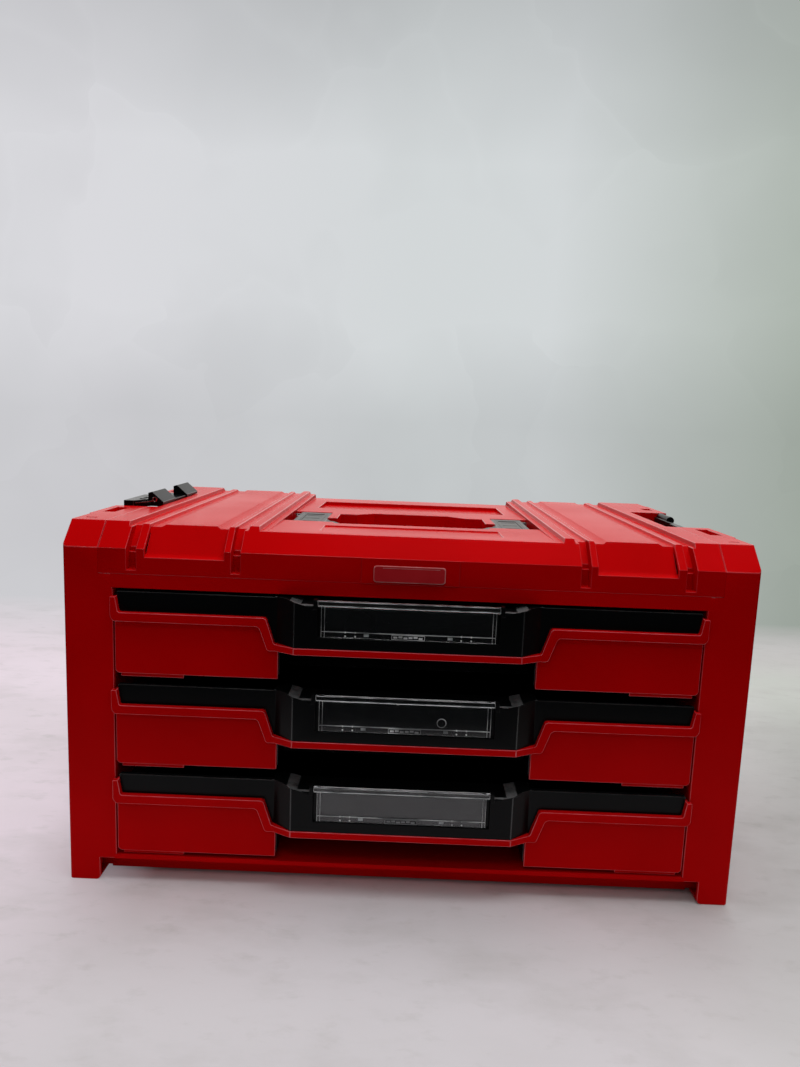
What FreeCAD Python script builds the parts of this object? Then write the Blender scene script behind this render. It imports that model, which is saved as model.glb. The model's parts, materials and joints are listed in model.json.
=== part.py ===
import FreeCAD, Part
import math
import os

# A stackable drawer chest: a hollow case and hood, three drawers on telescopic
# slides, a fold-down carry handle and two side latches.
# Millimetres. +X right, +Y back, +Z up. The origin is on the floor, midway
# between the sides and midway between the drawer pulls and the back.

# Case
width = 452.0  # outside of the posts
depth = 310.0  # face of the drawer pulls to the back
pull_proud = 10.6  # drawer pulls in front of the case
wall = 3.0  # moulded walls of case and hood
rebate = 1.5  # the floor, back and top frame reach this far into the side frames
post_width = 32.5
post_depth = 48.0
post_round = 2.5
tower_width = 23.0  # side towers beside the hood
foot_width = 21.0
foot_length = 42.0
foot_round = 3.0
base_z = 16.2  # underside of the floor plate
floor_plate = 3.0
opening_clear = 2.1  # top of the drawer opening over the top drawer's rim
beam_height = 9.0  # beam between the opening and the hood
seam_gap = 0.2
ledge_width = 11.5  # rim that carries the hood
beam_z = 30.0  # top of the side beam above the feet
side_rib_count = 4
skirt_inset = 14.0  # stacking skirt under the floor, from the case face
skirt_gap = 3.0  # sides of the skirt to the feet
skirt_clear_z = 1.6
skirt_lap = 6.5  # ends of the skirt inside the hollow feet
back_panel_inset = 1.0
back_panel_margin = 6.0

# Hood and wings
slope_rise = 17.0  # foot of the front slope over the seam
slope_run = 15.7
rear_slope_run = 22.6
rear_slope_rise = 22.6
wing_rise = 33.0  # top of the stacking wings over the seam
wing_width = 16.0  # hood's share of each wing
wing_rail = 12.0  # height of the wing rails over the side recesses
rail_proud = 1.5  # wing rails outside the posts
outer_rib_gap = 8.8  # wing to the outer rib
outer_rib_width = 4.7
panel_gap = (9.0, 9.9)  # raised panel to the thin rib and to the outer rib
ridge_gap = 5.5  # pad pocket to the ridge
ridge_width = 6.2
thin_rib_gap = 9.3  # ridge to the thin rib
thin_rib_width = 3.7
rib_drop = 1.3  # these four lie under the wing tops
panel_drop = 1.6
channel_drop = 3.1
ridge_drop = 0.3
centre_drop = 4.2  # fall of the middle of the hood from front to back
rib_draft = 0.8
panel_draft = 2.4
slot_foot_rise = 3.0  # lower end of the front slots over the seam
slot_step_drop = 3.0  # step in the slots under the foot of the slope
slot_depth = 7.0
slot_depth_upper = 9.0
slot_margin = (3.2, 2.4)  # slots to the ridge and to the wing
slope_recess_drop = 5.4  # foot of the set-back slope between the ribs
slope_recess_depth = 3.1  # at its top
slope_scoop = (4.6, 3.7)  # hollow foot of that slope: length and height
slope_scoop_steps = 4
hood_skin = 3.4
front_plate_half = 62.0  # bare sunk plates in the middle of the hood
front_plate_start = 27.4  # behind the case face
front_plate_length = 32.0
front_plate_sink = 0.9
rear_plate_half = 81.5
rear_plate_start = 51.0  # before the case back
rear_plate_length = 64.0
rear_plate_sink = 3.2
name_plate_half = 24.0
name_plate_rise = (1.4, 12.6)  # lower and upper edge over the seam
name_plate_thick = 1.1
name_pad_half = 32.0  # flat pad under the plate
name_pad_proud = 0.4
name_plate_round = 2.0

# Sockets in the wings for the feet of the box above
socket_sink = 4.0
socket_inner = 12.5  # inner side, from the outside of the post
socket_y = (-86.0, -56.0)
slit_outer = 5.0
slit_y = (-119.4, -116.8)
rear_socket_inner = 12.0
rear_socket_y = (72.0, 86.0)

# Handle and its trough
handle_half = 90.0
pad_width = 24.0
pad_length = 65.5
pad_thick = 7.0
pad_drop = 5.4  # pad tops under the wing tops
handle_pivot_y = 0.5
trough_half = 58.0
trough_front_y = -71.0
trough_rear_y = -4.0
scallop_half = 44.0
scallop_depth = 13.0
trough_floor = 2.5
trough_round = 4.0
pad_side_gap = 5.5  # handle to the ends of its pocket
pad_pocket_depth = 11.1  # under the pad tops
grip_half = 54.0
grip_depth = 25.0
grip_drop = 18.6  # underside of the grip below the pad tops
grip_thick = 12.0
grip_round = 5.0
handle_clear = 0.5
pad_panel_margin = (3.0, 5.0)  # sunk panel in the pad: sides and front
pad_panel_rear = 6.0
pad_panel_sink = 0.8
handle_pin_r = 2.2
handle_pin_bite = 12.0  # length of the pin inside the handle
handle_pin_seat = 2.0  # and inside the wall of the pocket
pin_play = 0.05

# Side latches, measured with the lever folded in over the wing
latch_y = (-46.0, 51.0)  # notch for the lever
latch_notch_reach = 8.0  # notch beyond the tower, into the hood
latch_pin_in = 5.5  # pin inside the outer face of the wing rail
latch_pin_down = 3.5  # pin under the wing top
latch_pin_r = 1.6
latch_pin_bite = 14.0  # length of the rear pin inside its knuckle
latch_pin_seat = 6.0  # length of each pin inside the wing rail
latch_knuckle_r = 3.4
latch_knuckle = 27.0
latch_lug_r = 2.4  # small lug at the front end of the lever
latch_lug = 7.4
latch_end_gap = 0.6
latch_plate = (2.0, 5.0)  # underside and top of the plate, above the pin
latch_nose_top = 7.6  # top of the tapered end, above the pin
latch_plate_reach = 25.0
latch_taper = 29.0  # tapered end of the plate
latch_tip_reach = 7.5
latch_rest_gap = 0.3
latch_block_inner = 14.0
latch_block_edge = 1.0  # bevel along the crest of the blocks
latch_block_crest = (17.0, 13.4)
latch_block_outer = (26.0, 5.6)
latch_blocks = (14.4, 47.4, 80.1)  # first block from, to; second block from
latch_overhang = 17.6  # second block beyond the notch
latch_slots = (13.5, 24.0)  # two slots in the tapered end
latch_slot = (5.0, 6.0)
latch_slot_edge = 4.0  # slots to the knuckle

# Drawers
drawer_names = ("bottom", "middle", "top")
first_drawer_gap = 0.6  # lowest skirt to the floor plate
drawer_pitch = 63.0
rim_gap = 7.5  # a drawer's rim to the lower edge of the next front
front_gap = 1.0  # red panel to the opening
tub_wall = 2.5
tub_drop = 7.0  # top of the tub under the rim
tub_floor_z = 1.5
tub_back_gap = 20.0
panel_thick = 3.0
panel_inner = 85.0
skirt_drop = 2.6
skirt_width = 41.7
skirt_set_back = 1.6
skirt_side_gap = 3.2
panel_round = 3.0  # lower outer corner of the panels
lip_proud = 4.0
lip_overhang = 1.7  # lip beyond the end of the panel
lip_case_gap = 0.4  # ends of the lip to the face of the case
lip_drop = 13.5  # top of the lip under the rim
lip_height = 6.0
lip_end_drop = 3.2  # top of the upright ends under the rim
lip_end_top = 3.5  # width of the upright ends, at the top and at the lip
lip_end_foot = 5.3
lip_end_bevel = 2.4
lip_knee_top = (92.8, 87.1)
lip_knee_bottom = (97.4, 91.6)
lip_centre_drop = 30.9  # top of the lowered middle under the rim
lip_centre_height = 4.6
lip_centre_depth = 6.0
rim_crest = (2.0, 6.0)  # crest over the pull: beyond and inside its shoulder
crest_run = 4.0
band_set_back = 0.4
pull_half = 73.5
pull_shoulder = 86.0
pull_drop = 1.9  # top of the pull under the rim
pull_crest_rise = 0.8
pull_face_set_back = 0.5
pull_wall = 5.4
pull_roof = 3.0
pull_round = 2.0
recess_half = 84.5
recess_depth = 26.0
recess_drop = 24.5  # roof of the finger recess under the rim
grip_space_depth = 9.5
divider_x = 60.0
divider_thick = 2.0
divider_gap = 0.3
divider_drop = 4.0  # top of the dividers under the rim of the tub

# Label windows
window_half = 55.4
window_drop = (22.9, 3.3)  # lower and upper edge of the seat under the rim
window_thick = 1.4
window_rail_half = 58.3
window_rail_height = 5.2
window_rail_depth = 2.4
window_axis_drop = 1.1
window_pin_r = 0.9
window_ear = 2.6
window_ear_round = 1.1
window_pin_short = 0.6  # pin ends inside the faces of the ears
window_side_gap = 0.3
window_seat_gap = (1.2, 0.6)  # behind the pane and under it
window_lip = 0.6  # thicker lower edge and thumb tab
window_lip_height = 1.0
window_tab_half = 10.6
window_tab_height = 3.6
window_round = 0.9

# Telescopic slides
slide_space = 13.0  # case wall to tub wall
slide_length = 250.0
slide_height = 36.0
slide_sheet = 1.2
slide_play = 0.35
slide_front_gap = 14.0
slide_z = 25.0  # slide axis above the drawer's lower edge
slide_step = 3.4  # drop in height from one member to the next
slide_lap = (4.0, 1.2, 3.0)  # flange widths: case member, middle member inset, drawer member inset
slide_web_gap = 1.6
slide_middle_short = 2.0
ball_row_half = 1.2
ball_row_ends = (20.0, 60.0, 50.0)

# Fasteners; their round shanks and heads are six-sided here
screw_r = 1.6
screw_head_r = 3.4
screw_head = 1.8
cover_screw_length = 9.0
cover_screw_margin = 30.0
front_screw_bite = 2.0
front_screw_margin = (18.0, 24.0)
front_screw_up = 16.0
pull_screw_drop = 3.5  # under the top of the tub

# Derived places
front_y = -depth / 2 + pull_proud
back_y = depth / 2
side_x = width / 2
rail_x = side_x + rail_proud
hood_half = side_x - tower_width
opening_x = side_x - post_width
panel_x = opening_x + rebate
inside_floor_z = base_z + floor_plate
rim_z = drawer_pitch - rim_gap
tub_height = rim_z - tub_drop
lip_end_z = rim_z - lip_end_drop
lip_top_z = rim_z - lip_drop
lip_bottom_z = lip_top_z - lip_height
lip_centre_top_z = rim_z - lip_centre_drop
lip_centre_bottom_z = lip_centre_top_z - lip_centre_height
pull_top_z = rim_z - pull_drop
pull_crest_z = rim_z + pull_crest_rise
recess_z = rim_z - recess_drop
window_foot_z = rim_z - window_drop[0]
window_axis_z = rim_z - window_axis_drop
first_drawer_z = inside_floor_z + skirt_drop + first_drawer_gap
opening_z = first_drawer_z + (len(drawer_names) - 1) * drawer_pitch + rim_z + opening_clear
seam_z = opening_z + beam_height
slope_z = seam_z + slope_rise
wing_z = seam_z + wing_rise
rib_z = wing_z - rib_drop
panel_z = wing_z - panel_drop
channel_z = wing_z - channel_drop
ridge_z = wing_z - ridge_drop
slot_foot_z = seam_z + slot_foot_rise
slot_step_z = slope_z - slot_step_drop
slope_recess_z = slope_z - slope_recess_drop
pad_top_z = wing_z - pad_drop
pad_pocket_floor_z = pad_top_z - pad_pocket_depth
recess_front_y = front_y + post_depth
recess_rear_y = back_y - post_depth
tub_half = opening_x - slide_space
tub_front_y = front_y + panel_thick
tub_back_y = back_y - wall - tub_back_gap
front_half = opening_x - front_gap
pad_pocket_half = handle_half + pad_side_gap
ridge = (pad_pocket_half + ridge_gap, pad_pocket_half + ridge_gap + ridge_width)
thin_rib = (ridge[1] + thin_rib_gap, ridge[1] + thin_rib_gap + thin_rib_width)
wing_inner = hood_half - wing_width
outer_rib = (wing_inner - outer_rib_gap - outer_rib_width, wing_inner - outer_rib_gap)
raised_panel = (thin_rib[1] + panel_gap[0], outer_rib[0] - panel_gap[1])
latch_pin_x = rail_x - latch_pin_in
latch_pin_z = wing_z - latch_pin_down
axis_x = FreeCAD.Vector(1, 0, 0)
axis_y = FreeCAD.Vector(0, 1, 0)
axis_z = FreeCAD.Vector(0, 0, 1)
origin = FreeCAD.Vector(0, 0, 0)


def block(x, y, z):
    """Box from three (low, high) pairs."""
    corner = FreeCAD.Vector(min(x), min(y), min(z))
    return Part.makeBox(abs(x[1] - x[0]), abs(y[1] - y[0]), abs(z[1] - z[0]), corner)


def prism(points, place, along):
    """Extrude a closed outline; place turns its (u, v) pairs into vectors."""
    vectors = [place(*point) for point in points]
    face = Part.Face(Part.makePolygon(vectors + vectors[:1]))
    return face.extrude(along)


def prism_yz(points, x):
    low, high = min(x), max(x)
    return prism(points, lambda y, z: FreeCAD.Vector(low, y, z), axis_x * (high - low))


def prism_xz(points, y):
    low, high = min(y), max(y)
    return prism(points, lambda x, z: FreeCAD.Vector(x, low, z), axis_y * (high - low))


def prism_xy(points, z):
    low, high = min(z), max(z)
    return prism(points, lambda x, y: FreeCAD.Vector(x, y, low), axis_z * (high - low))


def mirrored(shape):
    return shape.mirror(origin, axis_x)


def both_sides(shape):
    return shape.fuse(mirrored(shape))


def half_to_whole(points):
    """Mirror a half outline that runs from the middle to the side."""
    return points + [(-x, other) for x, other in reversed(points)]


def rod(radius, length, start, direction):
    return Part.makeCylinder(radius, length, start, direction)


def hex_rod(radius, length, start, direction):
    """Six-sided rod; radius is to its corners."""
    outline = Part.makePolygon(
        [
            FreeCAD.Vector(radius * math.cos(turn * math.pi / 3), radius * math.sin(turn * math.pi / 3), 0)
            for turn in range(7)
        ]
    )
    rod_up = Part.Face(outline).extrude(axis_z * length)
    rod_up.Placement = FreeCAD.Placement(start, FreeCAD.Rotation(axis_z, direction))
    return rod_up


def rounded(shape, radius, wanted):
    """Fillet the edges whose end points and middle satisfy wanted."""
    edges = []
    for edge in shape.Edges:
        middle = edge.valueAt((edge.FirstParameter + edge.LastParameter) / 2)
        if wanted(edge, middle):
            edges.append(edge)
    if not edges:
        return shape
    return shape.makeFillet(radius, edges)


def runs_along(edge, direction):
    if len(edge.Vertexes) < 2:
        return False
    span = edge.Vertexes[1].Point.sub(edge.Vertexes[0].Point)
    return span.Length > 0 and abs(abs(span.dot(direction)) - span.Length) < 1e-6


def near(value, target):
    return abs(value - target) < 0.01


def save(node, shape):
    shape = shape.removeSplitter()
    if not shape.isValid():
        print("not valid:", node)
    print(f"{node:24s} solids {len(shape.Solids):3d} faces {len(shape.Faces):4d}")
    shape.exportStep("parts/" + node + ".step")


# ---------------------------------------------------------------- case


def side_outline(inset, low_z, high_z):
    """Side view of case and hood, moved inwards by inset and cut at high_z."""
    rise = wing_z - slope_z
    length = math.hypot(rise, slope_run)
    rear_length = math.hypot(rear_slope_rise, rear_slope_run)
    front_knee_z = slope_z + inset * (rise - length) / slope_run
    rear_knee_z = wing_z - rear_slope_rise + inset * (rear_slope_rise - rear_length) / rear_slope_run
    top_z = min(high_z, wing_z - inset)
    front_top_y = front_y + inset + (top_z - front_knee_z) * slope_run / rise
    rear_top_y = back_y - inset - (top_z - rear_knee_z) * rear_slope_run / rear_slope_rise
    return [
        (front_y + inset, low_z),
        (front_y + inset, front_knee_z),
        (front_top_y, top_z),
        (rear_top_y, top_z),
        (back_y - inset, rear_knee_z),
        (back_y - inset, low_z),
    ]


def side_body():
    """Outer form of the right side frame: posts, feet, tower and wing rail."""
    outline = [
        (opening_x, base_z),
        (side_x - foot_width, base_z),
        (side_x - foot_width, 0),
        (side_x, 0),
        (side_x, wing_z),
        (hood_half, wing_z),
        (hood_half, seam_z),
        (opening_x, seam_z),
    ]
    body = prism_xz(outline, (front_y, back_y))
    body = body.common(prism_yz(side_outline(0, 0, wing_z), (0, side_x)))
    body = rounded(
        body,
        post_round,
        lambda edge, middle: runs_along(edge, axis_z) and near(middle.x, side_x),
    )
    body = rounded(
        body,
        foot_round,
        lambda edge, middle: near(middle.z, 0) and near(middle.x, side_x - foot_width),
    )
    between_feet = block((0, side_x), (front_y + foot_length, back_y - foot_length), (0, base_z))
    rail = block(
        (hood_half, rail_x), (recess_front_y, recess_rear_y), (wing_z - wing_rail, wing_z)
    )
    return body.cut(between_feet).fuse(rail)


def post_core(y):
    """Hollow of one right-hand post, open under the case beside the foot."""
    shaft = block((opening_x + wall, side_x - wall), y, (wall, seam_z - wall))
    tower = prism_yz(side_outline(wall, seam_z - wall, wing_z), (hood_half + wall, side_x - wall))
    tower = tower.common(block((0, side_x), y, (0, wing_z)))
    return shaft.fuse(tower)


def side_recess():
    """Recess between the right-hand posts, with ribbed pockets in its floor."""
    y = (recess_front_y, recess_rear_y)
    recess = block((hood_half, side_x), y, (beam_z, wing_z - wing_rail))
    pocket_y = (y[0] + wall, y[1] - wall)
    pocket_width = (pocket_y[1] - pocket_y[0] - side_rib_count * wall) / (side_rib_count + 1)
    pockets = []
    for index in range(side_rib_count + 1):
        start = pocket_y[0] + index * (pocket_width + wall)
        pocket = block(
            (opening_x + wall, hood_half),
            (start, start + pocket_width),
            (beam_z + wall, seam_z - wall),
        )
        pockets.append(pocket)
    beam_core = block((opening_x + 2 * wall, side_x - wall), y, (base_z, beam_z - wall))
    return recess.fuse(pockets + [beam_core])


def wing_openings():
    """Notch for the latch and the small sockets in the right-hand wing."""
    notch = block((hood_half, rail_x), latch_y, (wing_z - wing_rail, wing_z))
    floor_z = wing_z - socket_sink
    inner = side_x - socket_inner
    socket = block((inner, side_x - wall), socket_y, (floor_z, wing_z))
    slit = block((inner, side_x - slit_outer), slit_y, (wing_z - wall, wing_z))
    rear_socket = block(
        (side_x - rear_socket_inner, side_x - wall), rear_socket_y, (floor_z, wing_z)
    )
    return notch.fuse([socket, slit, rear_socket])


def panel_rebates():
    """Rebates in the right side frame for the floor, the back and the top frame."""
    x = (opening_x, panel_x)
    whole_y = (front_y, back_y)
    floor = block(x, whole_y, (base_z, inside_floor_z))
    back = block(x, (back_y - wall, back_y), (inside_floor_z, seam_z - wall))
    top = block(x, whole_y, (seam_z - wall, seam_z))
    beam = block(x, (front_y, front_y + wall), (opening_z, seam_z))
    return floor.fuse([back, top, beam])


def side_frame():
    frame = side_body()
    front_core = (front_y + wall, recess_front_y - wall)
    rear_core = (recess_rear_y + wall, back_y - wall)
    cuts = [post_core(front_core), post_core(rear_core), side_recess(), wing_openings()]
    frame = frame.cut(cuts[0].fuse(cuts[1:] + [panel_rebates()]))
    for start_y, end_y in latch_pin_spans():
        frame = frame.cut(latch_pin(start_y, end_y, latch_pin_r))
    return frame


def case_floor():
    """Floor plate between the side frames, with the stacking skirt under it."""
    plate = block((-panel_x, panel_x), (front_y, back_y), (base_z, inside_floor_z))
    outer_x = side_x - foot_width - skirt_gap
    outer_y = (front_y + skirt_inset, back_y - skirt_inset)
    z = (skirt_clear_z, base_z)
    outer = block((-outer_x, outer_x), outer_y, z)
    inner = block((-outer_x + wall, outer_x - wall), (outer_y[0] + wall, outer_y[1] - wall), z)
    lap_x = side_x - foot_width + skirt_lap
    laps = []
    for y in (outer_y[0], outer_y[1] - wall):
        laps.append(block((outer_x - wall, lap_x), (y, y + wall), (wall, base_z)))
        laps.append(mirrored(laps[-1]))
    return plate.fuse([outer.cut(inner)] + laps)


def case_back():
    plate = block((-panel_x, panel_x), (back_y - wall, back_y), (inside_floor_z, seam_z - wall))
    half = opening_x - back_panel_margin
    panel = block(
        (-half, half),
        (back_y - back_panel_inset, back_y),
        (inside_floor_z + back_panel_margin, opening_z - back_panel_margin),
    )
    return plate.cut(panel)


def top_frame():
    """Beam over the drawers and the ledge that carries the hood."""
    plate = block((-panel_x, panel_x), (front_y, back_y), (seam_z - wall, seam_z))
    beam = block((-panel_x, panel_x), (front_y, front_y + wall), (opening_z, seam_z))
    ledge_x = opening_x - ledge_width
    inner = block(
        (-ledge_x, ledge_x),
        (front_y + wall + ledge_width, back_y - wall - ledge_width),
        (seam_z - wall, seam_z),
    )
    frame = plate.cut(inner).fuse(beam)
    for place in cover_screw_places():
        frame = frame.cut(hex_rod(screw_r, wall, place - axis_z * wall, axis_z))
    return frame


def cover_screw_places():
    places = []
    x = opening_x - ledge_width / 2
    ends = (front_y + cover_screw_margin, back_y - cover_screw_margin)
    for y in (ends[0], (ends[0] + ends[1]) / 2, ends[1]):
        for side in (-1, 1):
            places.append(FreeCAD.Vector(side * x, y, seam_z))
    return places


# ---------------------------------------------------------------- hood


def hood_line():
    """Half of the hood's cross-section, from the middle to the side."""
    draft = rib_draft
    return [
        (0, seam_z),
        (0, channel_z),
        (ridge[0] - draft, channel_z),
        (ridge[0], ridge_z),
        (ridge[1], ridge_z),
        (ridge[1] + draft, channel_z),
        (thin_rib[0] - draft, channel_z),
        (thin_rib[0], rib_z),
        (thin_rib[1], rib_z),
        (thin_rib[1] + draft, channel_z),
        (raised_panel[0] - panel_draft, channel_z),
        (raised_panel[0], panel_z),
        (raised_panel[1], panel_z),
        (raised_panel[1] + panel_draft, channel_z),
        (outer_rib[0] - draft, channel_z),
        (outer_rib[0], rib_z),
        (outer_rib[1], rib_z),
        (outer_rib[1] + draft, channel_z),
        (wing_inner - draft, channel_z),
        (wing_inner, wing_z),
        (hood_half - seam_gap, wing_z),
        (hood_half - seam_gap, seam_z),
    ]


def centre_z(y):
    """Height of the hood's sloping middle at y."""
    start = front_y + slope_run
    end = back_y - rear_slope_run
    share = (y - start) / (end - start)
    return channel_z - centre_drop * max(0.0, share)


def under_centre(depth_down, y, x):
    """Solid over the sloping middle, reaching depth_down into it."""
    high = wing_z + wall
    points = [
        (y[0], centre_z(y[0]) - depth_down),
        (y[1], centre_z(y[1]) - depth_down),
        (y[1], high),
        (y[0], high),
    ]
    return prism_yz(points, x)


def front_slot(x, around=0):
    """Slot down the slope and front face, shallower at its foot; around adds its walls."""
    outside = front_y - wall
    low = front_y + slot_depth + around
    high = front_y + slot_depth_upper + around
    back_top = high + (channel_z - slope_z) * slope_run / (wing_z - slope_z)
    points = [
        (outside, slot_foot_z - around),
        (low, slot_foot_z - around),
        (low, slot_step_z - around),
        (high, slot_step_z - around),
        (high, slope_z),
        (back_top, channel_z),
        (back_top, wing_z + wall),
        (outside, wing_z + wall),
    ]
    return prism_yz(points, (x[0] - around, x[1] + around))


def slope_recess(around=0):
    """Set-back slope between the ribs, scooped out to a lip at its foot."""
    grade = (wing_z - slope_z) / slope_run
    length, rise = slope_scoop
    top = ((panel_z - slope_z) / grade + slope_recess_depth, panel_z - slope_recess_z)
    lean = (top[0] - length) / (top[1] - rise)
    turn = length - rise * lean
    high = wing_z + wall - slope_recess_z
    line = [(-wall, 0)]
    for step in range(slope_scoop_steps + 1):
        share = step / slope_scoop_steps
        line.append((share**2 * length + 2 * share * (1 - share) * turn, share**2 * rise))
    line += [(length + (high - rise) * lean, high), (-wall, high)]
    foot = (front_y + around, slope_recess_z - around)
    points = [(foot[0] + y, foot[1] + z) for y, z in line]
    return prism_yz(points, (thin_rib[1] + rib_draft, outer_rib[0] - rib_draft))


def front_hollows(around=0):
    """Slots and set-back slope in the right half of the hood's front."""
    inner = (ridge[1] + slot_margin[0], thin_rib[0])
    outer = (outer_rib[1], wing_inner - slot_margin[1])
    return slope_recess(around).fuse([front_slot(inner, around), front_slot(outer, around)])


def hood_hollow():
    """Open inside of the right half of the hood, with walls round the front slots."""
    ceiling = channel_z - hood_skin
    middle = prism_yz(side_outline(wall, seam_z, ceiling - centre_drop), (0, ridge[0] + wall))
    side_x_range = (ridge[0] + wall, hood_half - seam_gap - wall)
    side = prism_yz(side_outline(wall, seam_z, ceiling), side_x_range)
    rear = back_y - rear_plate_start
    rear_plate_y = (rear - rear_plate_length - wall, rear + wall)
    under_plate = under_centre(rear_plate_sink + wall, rear_plate_y, (0, rear_plate_half + wall))
    return middle.fuse(side).cut(front_hollows(wall)).cut(under_plate)


def pad_y():
    """Front and rear of the pocket for the pads."""
    half = pad_thick / 2
    return (
        handle_pivot_y + half - pad_length - handle_clear,
        handle_pivot_y + half + handle_clear,
    )


def passage_x():
    return handle_half - pad_width + handle_clear


def grip_low_z():
    return pad_top_z - grip_drop - handle_clear


def handle_pivot_z():
    return pad_top_z - pad_thick / 2


def trough_walls():
    """Material around the handle trough that hangs inside the hood."""
    top = channel_z
    front, rear = pad_y()
    pad_box = block(
        (-pad_pocket_half - wall, pad_pocket_half + wall),
        (front - wall, rear + wall),
        (pad_pocket_floor_z - wall, top),
    )
    deep_box = block(
        (-trough_half - wall, trough_half + wall),
        (trough_front_y - wall, trough_rear_y + scallop_depth + wall),
        (seam_z, top),
    )
    passage = passage_x()
    passage_box = block(
        (-passage - wall, passage + wall),
        (front - 2 * wall, front + grip_depth + 2 * wall),
        (grip_low_z() - wall, top),
    )
    return pad_box.fuse([deep_box, passage_box])


def trough():
    """Space for the folded handle and for the fingers under it."""
    high = wing_z
    front, rear = pad_y()
    passage = passage_x()
    pads = block((-pad_pocket_half, pad_pocket_half), (front, rear), (pad_pocket_floor_z, high))
    land_x = handle_half - pad_width - handle_clear
    land_front = front + grip_depth + 2 * handle_clear
    land = block((-land_x, land_x), (land_front, rear), (seam_z, high))
    deep = block(
        (-trough_half, trough_half),
        (trough_front_y, trough_rear_y),
        (seam_z + trough_floor, high),
    )
    scallop = prism_xy(
        half_to_whole(
            [
                (scallop_half, trough_rear_y),
                (scallop_half - scallop_depth, trough_rear_y + scallop_depth),
            ]
        ),
        (seam_z + trough_floor, high),
    )
    passage_space = block(
        (-passage, passage),
        (front - 2 * handle_clear, front + grip_depth + 2 * handle_clear),
        (grip_low_z(), high),
    )
    deep = rounded(
        deep.fuse(scallop).removeSplitter(),
        trough_round,
        lambda edge, middle: runs_along(edge, axis_z) and near(middle.y, trough_front_y),
    )
    return deep.fuse([pads.cut(land), passage_space])


def handle_pin(radius):
    """Right-hand pin, from inside the pad into the end wall of its pocket."""
    start = FreeCAD.Vector(handle_half - handle_pin_bite, handle_pivot_y, handle_pivot_z())
    end_x = pad_pocket_half + handle_pin_seat
    return rod(radius, end_x - start.x, start, axis_x)


def hood_bosses():
    """Square bosses that the cover screws bite into."""
    half = screw_r + wall
    bosses = []
    for place in cover_screw_places():
        boss = block(
            (place.x - half, place.x + half),
            (place.y - half, place.y + half),
            (seam_z, channel_z - hood_skin / 2),
        )
        bosses.append(boss)
    return bosses


def sunk_plates():
    """The two shallow plates in the middle of the hood."""
    front = front_y + front_plate_start
    rear = back_y - rear_plate_start
    front_plate = under_centre(
        front_plate_sink,
        (front, front + front_plate_length),
        (-front_plate_half, front_plate_half),
    )
    rear_plate = under_centre(
        rear_plate_sink, (rear - rear_plate_length, rear), (-rear_plate_half, rear_plate_half)
    )
    return front_plate.fuse(rear_plate)


def top_cover():
    half = prism_xz(hood_line(), (front_y, back_y))
    hood = both_sides(half).removeSplitter()
    hood = hood.common(prism_yz(side_outline(0, seam_z, wing_z), (-hood_half, hood_half)))
    hood = hood.cut(both_sides(hood_hollow()).cut(trough_walls()))
    name_pad = block(
        (-name_pad_half, name_pad_half), (front_y - name_pad_proud, front_y), (seam_z, slope_z)
    )
    hood = hood.fuse(hood_bosses() + [name_pad])
    hood = hood.cut(both_sides(front_hollows()))
    centre_x = (-pad_pocket_half, pad_pocket_half)
    hood = hood.cut(under_centre(0, (front_y + slope_run, back_y), centre_x))
    hood = hood.cut(sunk_plates()).cut(trough())
    notch = block((hood_half - latch_notch_reach, hood_half), latch_y, (channel_z, wing_z))
    hood = hood.cut(both_sides(notch))
    hood = hood.cut(both_sides(handle_pin(handle_pin_r)))
    for place in cover_screw_places():
        hood = hood.cut(hex_rod(screw_r, cover_screw_length - wall, place, axis_z))
    return hood


def name_plate():
    """Bare plate on the front of the hood."""
    pad_y0 = front_y - name_pad_proud
    z = [seam_z + rise for rise in name_plate_rise]
    plate = block((-name_plate_half, name_plate_half), (pad_y0 - name_plate_thick, pad_y0), z)
    return rounded(plate, name_plate_round, lambda edge, middle: runs_along(edge, axis_y))


def screw(place, direction, length):
    """Screw; place is under the head, direction points to its tip."""
    shank = hex_rod(screw_r, length, place, direction)
    cap = hex_rod(screw_head_r, screw_head, place - direction * screw_head, direction)
    return shank.fuse(cap).removeSplitter()


def cover_screws():
    screws = []
    for place in cover_screw_places():
        screws.append(screw(place - axis_z * wall, axis_z, cover_screw_length))
    return Part.makeCompound(screws)


# ---------------------------------------------------------------- handle and latches


def carry_handle():
    """Pads over the trough, shoulders and a low grip bar between them."""
    low_z = pad_top_z - pad_thick
    pad_inner = handle_half - pad_width
    bar_low = pad_top_z - grip_drop
    bar_high = bar_low + grip_thick
    y0 = pad_y()[0] + handle_clear
    half = [
        (0, bar_low),
        (0, bar_high),
        (grip_half, bar_high),
        (pad_inner, pad_top_z),
        (handle_half, pad_top_z),
        (handle_half, low_z),
        (pad_inner - handle_clear, low_z),
        (grip_half - handle_clear, bar_low),
    ]
    bar = both_sides(prism_xz(half, (y0, y0 + grip_depth))).removeSplitter()
    bar = rounded(
        bar,
        grip_round,
        lambda edge, middle: runs_along(edge, axis_x) and near(middle.x, 0),
    )
    arm = block((pad_inner, handle_half), (y0, handle_pivot_y), (low_z, pad_top_z))
    pivot = FreeCAD.Vector(pad_inner, handle_pivot_y, handle_pivot_z())
    end = rod(pad_thick / 2, pad_width, pivot, axis_x)
    side_margin, front_margin = pad_panel_margin
    panel = block(
        (pad_inner + side_margin, handle_half - side_margin),
        (y0 + front_margin, handle_pivot_y - pad_panel_rear),
        (pad_top_z - pad_panel_sink, pad_top_z),
    )
    handle = bar.fuse(both_sides(arm.fuse(end))).cut(both_sides(panel))
    return handle.cut(both_sides(handle_pin(handle_pin_r + pin_play)))


def latch_lever_y():
    return (latch_y[0] + latch_end_gap, latch_y[1] - latch_end_gap)


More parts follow.
